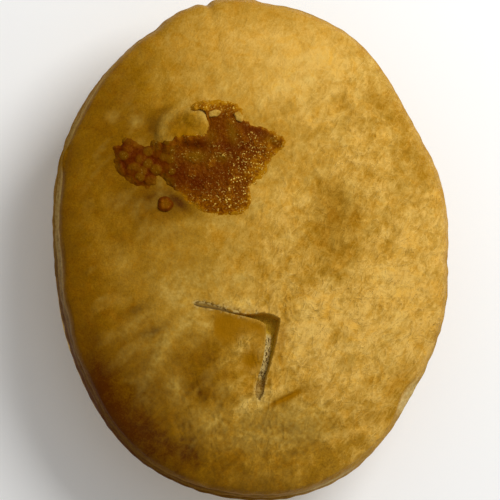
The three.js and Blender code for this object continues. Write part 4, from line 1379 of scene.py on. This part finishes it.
def crust_mottle(paint, leaning, ridges):
    """Browning in mottles, flakes and specks, and a lighter colour along the ridges as painted light."""
    mottle = paint.swing(0.08, size=2.6, detail=3.0, rough=0.55, warp=0.8)
    # Lighter along the ridges: painted light
    mottle = paint.plus(mottle, paint.stretch(ridges, (0.0, 1.0), (0.04, -0.09)))
    flakes = paint.flakes(size=1.1, warp=1.2, place=leaning)
    mottle = paint.plus(mottle, paint.stretch(flakes, (0.0, 1.0), (-0.03, 0.03)))
    return paint.plus(mottle, paint.swing(0.06, size=0.42, detail=3.0, rough=0.7))


def crust_grain(paint, bake):
    """Fine grain in the browning, with sand where the skin is neither pale nor dark."""
    grain = paint.swing(0.05, size=0.55, rough=0.7)
    grain = paint.times(grain, paint.stretch(bake, (0.6, 0.95), (1.4, 0.6)))
    sand = paint.swing(0.08, size=0.3, detail=1.0)
    sand = paint.times(sand, paint.stretch(bake, (0.35, 0.5), (0.3, 1.0)))
    sand = paint.times(sand, paint.stretch(bake, (0.7, 0.9), (1.0, 0.3)))
    return paint.plus(grain, sand)


def crust_flour(paint, pastry, base, bake, dust):
    """A colour with dry flour added in patches and marks, a few marks being painted highlights, and with
    warmer patches.
    """
    patches = paint.stretch(paint.noise(size=3.2, detail=5.0, rough=0.68, warp=0.8), (0.34, 0.68))
    patches = paint.times(patches, paint.stretch(bake, (0.35, 0.8), (0.6, 0.05)))
    base = paint.mix(paint.plus(patches, dust), base, pastry.flour, "ADD")
    warmth = paint.stretch(paint.noise(size=4.0, detail=5.0, rough=0.65, warp=0.9), (0.47, 0.68), (0.0, 0.7))
    return paint.mix(warmth, base, pastry.warmth, "MULTIPLY")


def crust_cuts(paint, pastry, base):
    """A colour with glazed places, and with what shows in the cut edge and the slit: layers of crumb and a
    painted highlight line, the moist inside, crumb with pores of painted shade, and gaps of painted shade."""
    base = paint.mix(paint.field("glaze"), base, pastry.glaze)
    layers = paint.stretch(paint.noise(size=0.8, detail=4.0, rough=0.7), (0.3, 0.7), (0.15, 0.75))
    base = paint.mix(paint.times(paint.field("side"), layers), base, pastry.crumb)
    base = paint.mix(paint.field("hollow"), base, pastry.moist)
    # Holes in the crumb take the pore colour: painted shade
    holes = paint.stretch(paint.noise(size=0.7, detail=1.5, warp=0.4), (0.40, 0.52))
    base = paint.mix(paint.field("crumb"), base, paint.mix(holes, pastry.pore_shade, pastry.inside))
    return paint.mix(paint.field("gap"), base, pastry.pore_shade)


def crust_finish(pastry):
    """Golden skin of the crust: browning in mottles and strokes, floury and greasy places, crumb in the
    cuts, and painted light and shade: pale ridges, dark pores and gaps, and a shadow by the vent flap."""
    paint = Finish("crust_pastry", specular=0.06, tint=(1.0, 0.70, 0.12))
    bake = paint.field("bake")
    grease = paint.field("grease")
    leaning = paint.leaning(degrees=58.0, drawn_out=2.4)
    ridges = paint.ridges(size=1.7, warp=1.0, place=leaning)
    spread = paint.times(paint.stretch(bake, (0.2, 0.9), (1.1, 0.15)), paint.field("mottles"))
    powder = paint.stretch(paint.noise(size=1.2, detail=4.0, rough=0.7), (0.3, 0.7), (0.3, 1.2))
    dust = paint.times(paint.field("dust"), powder)
    mottle = paint.times(crust_mottle(paint, leaning, ridges), spread)
    level = paint.plus(paint.plus(bake, crust_grain(paint, bake)), mottle)
    base = paint.ramp(paint.minus(level, paint.times(dust, 0.28)), pastry_stops(pastry))
    base = crust_flour(paint, pastry, base, bake, dust)
    base = crust_cuts(paint, pastry, base)
    base = paint.mix(grease, base, pastry.grease, "MULTIPLY")
    rough = paint.stretch(grease, (0.0, 1.0), (pastry.roughness, 0.8 * pastry.roughness))
    skin = paint.bump(paint.noise(size=0.5, detail=4.0, rough=0.65), 1.8 * pastry.grain_depth)
    skin = paint.bump(paint.times(ridges, spread), pastry.grain_depth, skin)
    strokes = paint.times(crust_strokes(paint, leaning), spread)
    return paint.finish(base, rough, paint.bump(strokes, 4.0 * pastry.grain_depth, skin))


def base_finish(pastry):
    """Dry shortcrust of the base: blotched tan with pale flour bloom and a sandy grain."""
    paint = Finish("base_pastry", specular=0.15)
    mottle = paint.swing(0.16, size=4.0, detail=5.0, rough=0.65, warp=0.4)
    base = paint.ramp(paint.plus(paint.field("bake"), mottle), pastry_stops(pastry))
    bloom = paint.stretch(paint.noise(size=1.1, detail=4.0, rough=0.7), (0.35, 0.7), (0.05, 0.45))
    base = paint.mix(bloom, base, pastry.crumb)
    sand = paint.bump(paint.noise(size=0.6, detail=4.0, rough=0.7), 3.0 * pastry.grain_depth)
    lumps = paint.noise(size=2.2, detail=3.0, rough=0.6, warp=0.5)
    normal = paint.bump(lumps, 6.0 * pastry.grain_depth, sand)
    return paint.finish(base, roughness=0.75, normal=normal)


def cheese_finish(cheese):
    """Fried cheese: gold edges to near-burnt crust, clear greasy places, and pale dots painted as highlights
    where tiny bubbles catch the light."""
    paint = Finish("browned_cheese", specular=0.06, tint=(1.0, 0.5, 0.08))
    sparkle = paint.field("sparkle")
    specks = paint.stretch(paint.noise(size=0.5, detail=3.0, rough=0.7), (0.3, 0.7), (0.24, -0.24))
    specks = paint.times(specks, paint.stretch(sparkle, (0.0, 0.7), (0.5, 1.2)))
    base = paint.ramp(paint.plus(paint.field("char"), specks), (
        (0.0, cheese.gold), (0.35, cheese.amber), (0.65, cheese.brown), (1.0, cheese.dark),
    ))
    base = paint.mix(paint.field("clear"), base, cheese.clear)
    # Pale dots where sparkle is high: painted highlights
    dots = paint.stretch(paint.noise(size=0.42, detail=1.0), (0.60, 0.67))
    some_places = paint.stretch(paint.noise(size=1.3), (0.42, 0.54))
    glints = paint.times(paint.times(dots, some_places), sparkle)
    base = paint.mix(glints, base, cheese.foam_and_glints)
    dullness = (0.7 * cheese.roughness, 1.6 * cheese.roughness)
    rough = paint.stretch(paint.noise(size=1.0, detail=3.0), (0.3, 0.7), dullness)
    pits = paint.bump(paint.pits(size=0.8), -cheese.crag_depth)
    crags = paint.noise(size=0.5, detail=3.0, rough=0.6)
    return paint.finish(base, rough, paint.bump(crags, cheese.crag_depth, pits))


# Pieces

def pie_shift():
    """The move that brings the middle of the outline's box to the middle of the solid crust's box."""
    angle = np.arange(SOLID_SPOKES) / SOLID_SPOKES * 2.0 * np.pi
    outline = turned(crust_radius(angle), angle, np.zeros(SOLID_SPOKES))
    low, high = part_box("top_crust")
    middle = (low + high) / (2.0 * MM)
    shift = np.array([middle.x, middle.y, 0.0])
    return shift - (outline.min(axis=0) + outline.max(axis=0)) / 2.0


def raised(shape):
    """A shape that was worked out from the seam, brought up to the seam's height."""
    points, quads, triangles, fields = shape
    return points + np.array([0.0, 0.0, SEAM_HEIGHT]), quads, triangles, fields


def mesh_of(name, shape):
    """A smooth mesh in metres from points in millimetres, with a point attribute for each finish field."""
    points, quads, triangles, fields = shape
    points = points + pie_shift()
    corners = np.concatenate([quads.ravel(), triangles.ravel()]).astype(np.int32)
    starts = np.concatenate([4 * np.arange(len(quads)), 4 * len(quads) + 3 * np.arange(len(triangles))])
    mesh = bpy.data.meshes.new(name)
    mesh.vertices.add(len(points))
    mesh.vertices.foreach_set("co", (points * MM).astype(np.float32).ravel())
    mesh.loops.add(len(corners))
    mesh.loops.foreach_set("vertex_index", corners)
    mesh.polygons.add(len(starts))
    mesh.polygons.foreach_set("loop_start", starts.astype(np.int32))
    mesh.update(calc_edges=True)
    mesh.shade_smooth()
    for field, values in fields.items():
        attribute = mesh.attributes.new(field, "FLOAT", "POINT")
        attribute.data.foreach_set("value", values.astype(np.float32))
    if mesh.validate():
        raise RuntimeError(f"{name} has faces that don't hold together")
    return mesh


def add_object(name, data):
    """A new object in the scene."""
    item = bpy.data.objects.new(name, data)
    bpy.context.scene.collection.objects.link(item)
    return item


def add_piece(name, shape, material, node):
    """Makes a piece from its shape and material, and ties it to its body."""
    mesh = mesh_of(name, shape)
    mesh.materials.append(material)
    piece = add_object(name, mesh)
    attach(piece, BODY)
    if node:
        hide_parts(node)


class PIE_OT_base(bpy.types.Operator):
    """Build the pastry base"""

    bl_idname = "pie.build_base"
    bl_label = "Base"

    def execute(self, context):
        pastry = context.scene.pie_pastry
        add_piece("baked_base", build_base(), base_finish(pastry), "pie_base")
        return {"FINISHED"}


class PIE_OT_crust(bpy.types.Operator):
    """Build the top crust with its slit, vent flap and cut edge"""

    bl_idname = "pie.build_crust"
    bl_label = "Top crust"

    def execute(self, context):
        pastry = context.scene.pie_pastry
        shape = raised(build_crust(pastry))
        add_piece("baked_crust", shape, crust_finish(pastry), "top_crust")
        return {"FINISHED"}


class PIE_OT_cheese(bpy.types.Operator):
    """Build the leaked cheese and its drop"""

    bl_idname = "pie.build_cheese"
    bl_label = "Leaked cheese"

    def execute(self, context):
        cheese = context.scene.pie_cheese
        finish = cheese_finish(cheese)
        add_piece("fried_cheese", raised(build_cheese(cheese)), finish, "leaked_cheese")
        add_piece("fried_drop", raised(build_drop()), finish, "cheese_drop")
        return {"FINISHED"}


class PIE_OT_chips(bpy.types.Operator):
    """Build the pastry chips on the cheese"""

    bl_idname = "pie.build_chips"
    bl_label = "Pastry chips"

    def execute(self, context):
        pastry = context.scene.pie_pastry
        add_piece("pastry_chips", raised(build_chips()), crust_finish(pastry), None)
        return {"FINISHED"}


# Stage

FLOOR_SIZE = 6.0
FLOOR_GRAIN = 0.00001
TARGET = Vector((-0.000587, -0.000883, 0.02778))
KEY_HEADING = math.radians(40)
KEY_HEIGHT = math.radians(52)
KEY_DISTANCE = 0.6
KEY_SIZE = 0.35


def direction(heading, height):
    """A direction at a heading from +X and an angle over the floor."""
    level = math.cos(height)
    return Vector((level * math.cos(heading), level * math.sin(heading), math.sin(height)))


def add_light(settings):
    """A square soft light that looks at the pie."""
    data = bpy.data.lights.new("key", "AREA")
    data.size = KEY_SIZE
    data.energy = settings.key_power
    light = add_object("key", data)
    back = direction(KEY_HEADING, KEY_HEIGHT)
    light.location = TARGET + back * KEY_DISTANCE
    light.rotation_euler = back.to_track_quat("Z", "Y").to_euler()


def add_camera(settings):
    """A camera that leans from straight down towards a heading, with +Y up in the picture."""
    back = direction(settings.heading, math.pi / 2.0 - settings.tilt)
    right = Vector((0.0, 1.0, 0.0)).cross(back).normalized()
    up = back.cross(right)
    data = bpy.data.cameras.new("camera")
    data.lens = settings.lens
    camera = add_object("camera", data)
    turn = Matrix((right, up, back)).transposed().to_4x4()
    camera.matrix_world = Matrix.Translation(TARGET + back * settings.distance) @ turn
    bpy.context.scene.camera = camera


def add_floor(settings):
    """A plain pale floor with a faint grain."""
    half = FLOOR_SIZE / 2.0
    corners = [(-half, -half, 0.0), (half, -half, 0.0), (half, half, 0.0), (-half, half, 0.0)]
    mesh = bpy.data.meshes.new("floor")
    mesh.from_pydata(corners, [], [(0, 1, 2, 3)])
    paint = Finish("floor_paint", specular=0.1)
    tint = paint.mix(paint.noise(size=60.0), settings.floor, [0.99 * part for part in settings.floor])
    grain = paint.bump(paint.noise(size=2.0), FLOOR_GRAIN)
    mesh.materials.append(paint.finish(tint, roughness=0.9, normal=grain))
    floor = add_object("floor", mesh)


class PIE_OT_stage(bpy.types.Operator):
    """Set up the floor, light and camera"""

    bl_idname = "pie.build_stage"
    bl_label = "Stage"

    def execute(self, context):
        settings = context.scene.pie_stage
        scene = context.scene
        scene.view_settings.view_transform = "Standard"
        scene.world = bpy.data.worlds.new("studio")
        scene.world.use_nodes = True
        sky = scene.world.node_tree.nodes["Background"]
        sky.inputs["Color"].default_value = (1.0, 1.0, 1.0, 1.0)
        sky.inputs["Strength"].default_value = settings.sky
        add_floor(settings)
        add_light(settings)
        add_camera(settings)
        return {"FINISHED"}


class PIE_PT_panel(bpy.types.Panel):
    """Lists the pie's pieces and settings"""

    bl_idname = "PIE_PT_panel"
    bl_label = "Oval Savoury Pie"
    bl_space_type = "VIEW_3D"
    bl_region_type = "UI"
    bl_category = "Pie"

    def draw(self, context):
        for operator in OPERATORS:
            self.layout.operator(operator.bl_idname)
        for name, kind in SETTINGS.items():
            box = self.layout.box()
            for setting in kind.__annotations__:
                box.prop(getattr(context.scene, name), setting)


OPERATORS = (PIE_OT_stage, PIE_OT_base, PIE_OT_crust, PIE_OT_cheese, PIE_OT_chips)
SETTINGS = {"pie_pastry": PastrySettings, "pie_cheese": CheeseSettings, "pie_stage": StageSettings}
CLASSES = (*SETTINGS.values(), *OPERATORS, PIE_PT_panel)


def register():
    """Makes the classes and the scene's settings known to Blender."""
    for kind in CLASSES:
        bpy.utils.register_class(kind)
    for name, kind in SETTINGS.items():
        setattr(bpy.types.Scene, name, PointerProperty(type=kind))


def unregister():
    """Takes the settings and classes away again."""
    for name in SETTINGS:
        delattr(bpy.types.Scene, name)
    for kind in reversed(CLASSES):
        bpy.utils.unregister_class(kind)


def main():
    """Builds the stage and the pie."""
    register()
    bpy.ops.pie.build_stage()
    bpy.ops.pie.build_base()
    bpy.ops.pie.build_crust()
    bpy.ops.pie.build_cheese()
    bpy.ops.pie.build_chips()


if __name__ == "__main__":
    main()
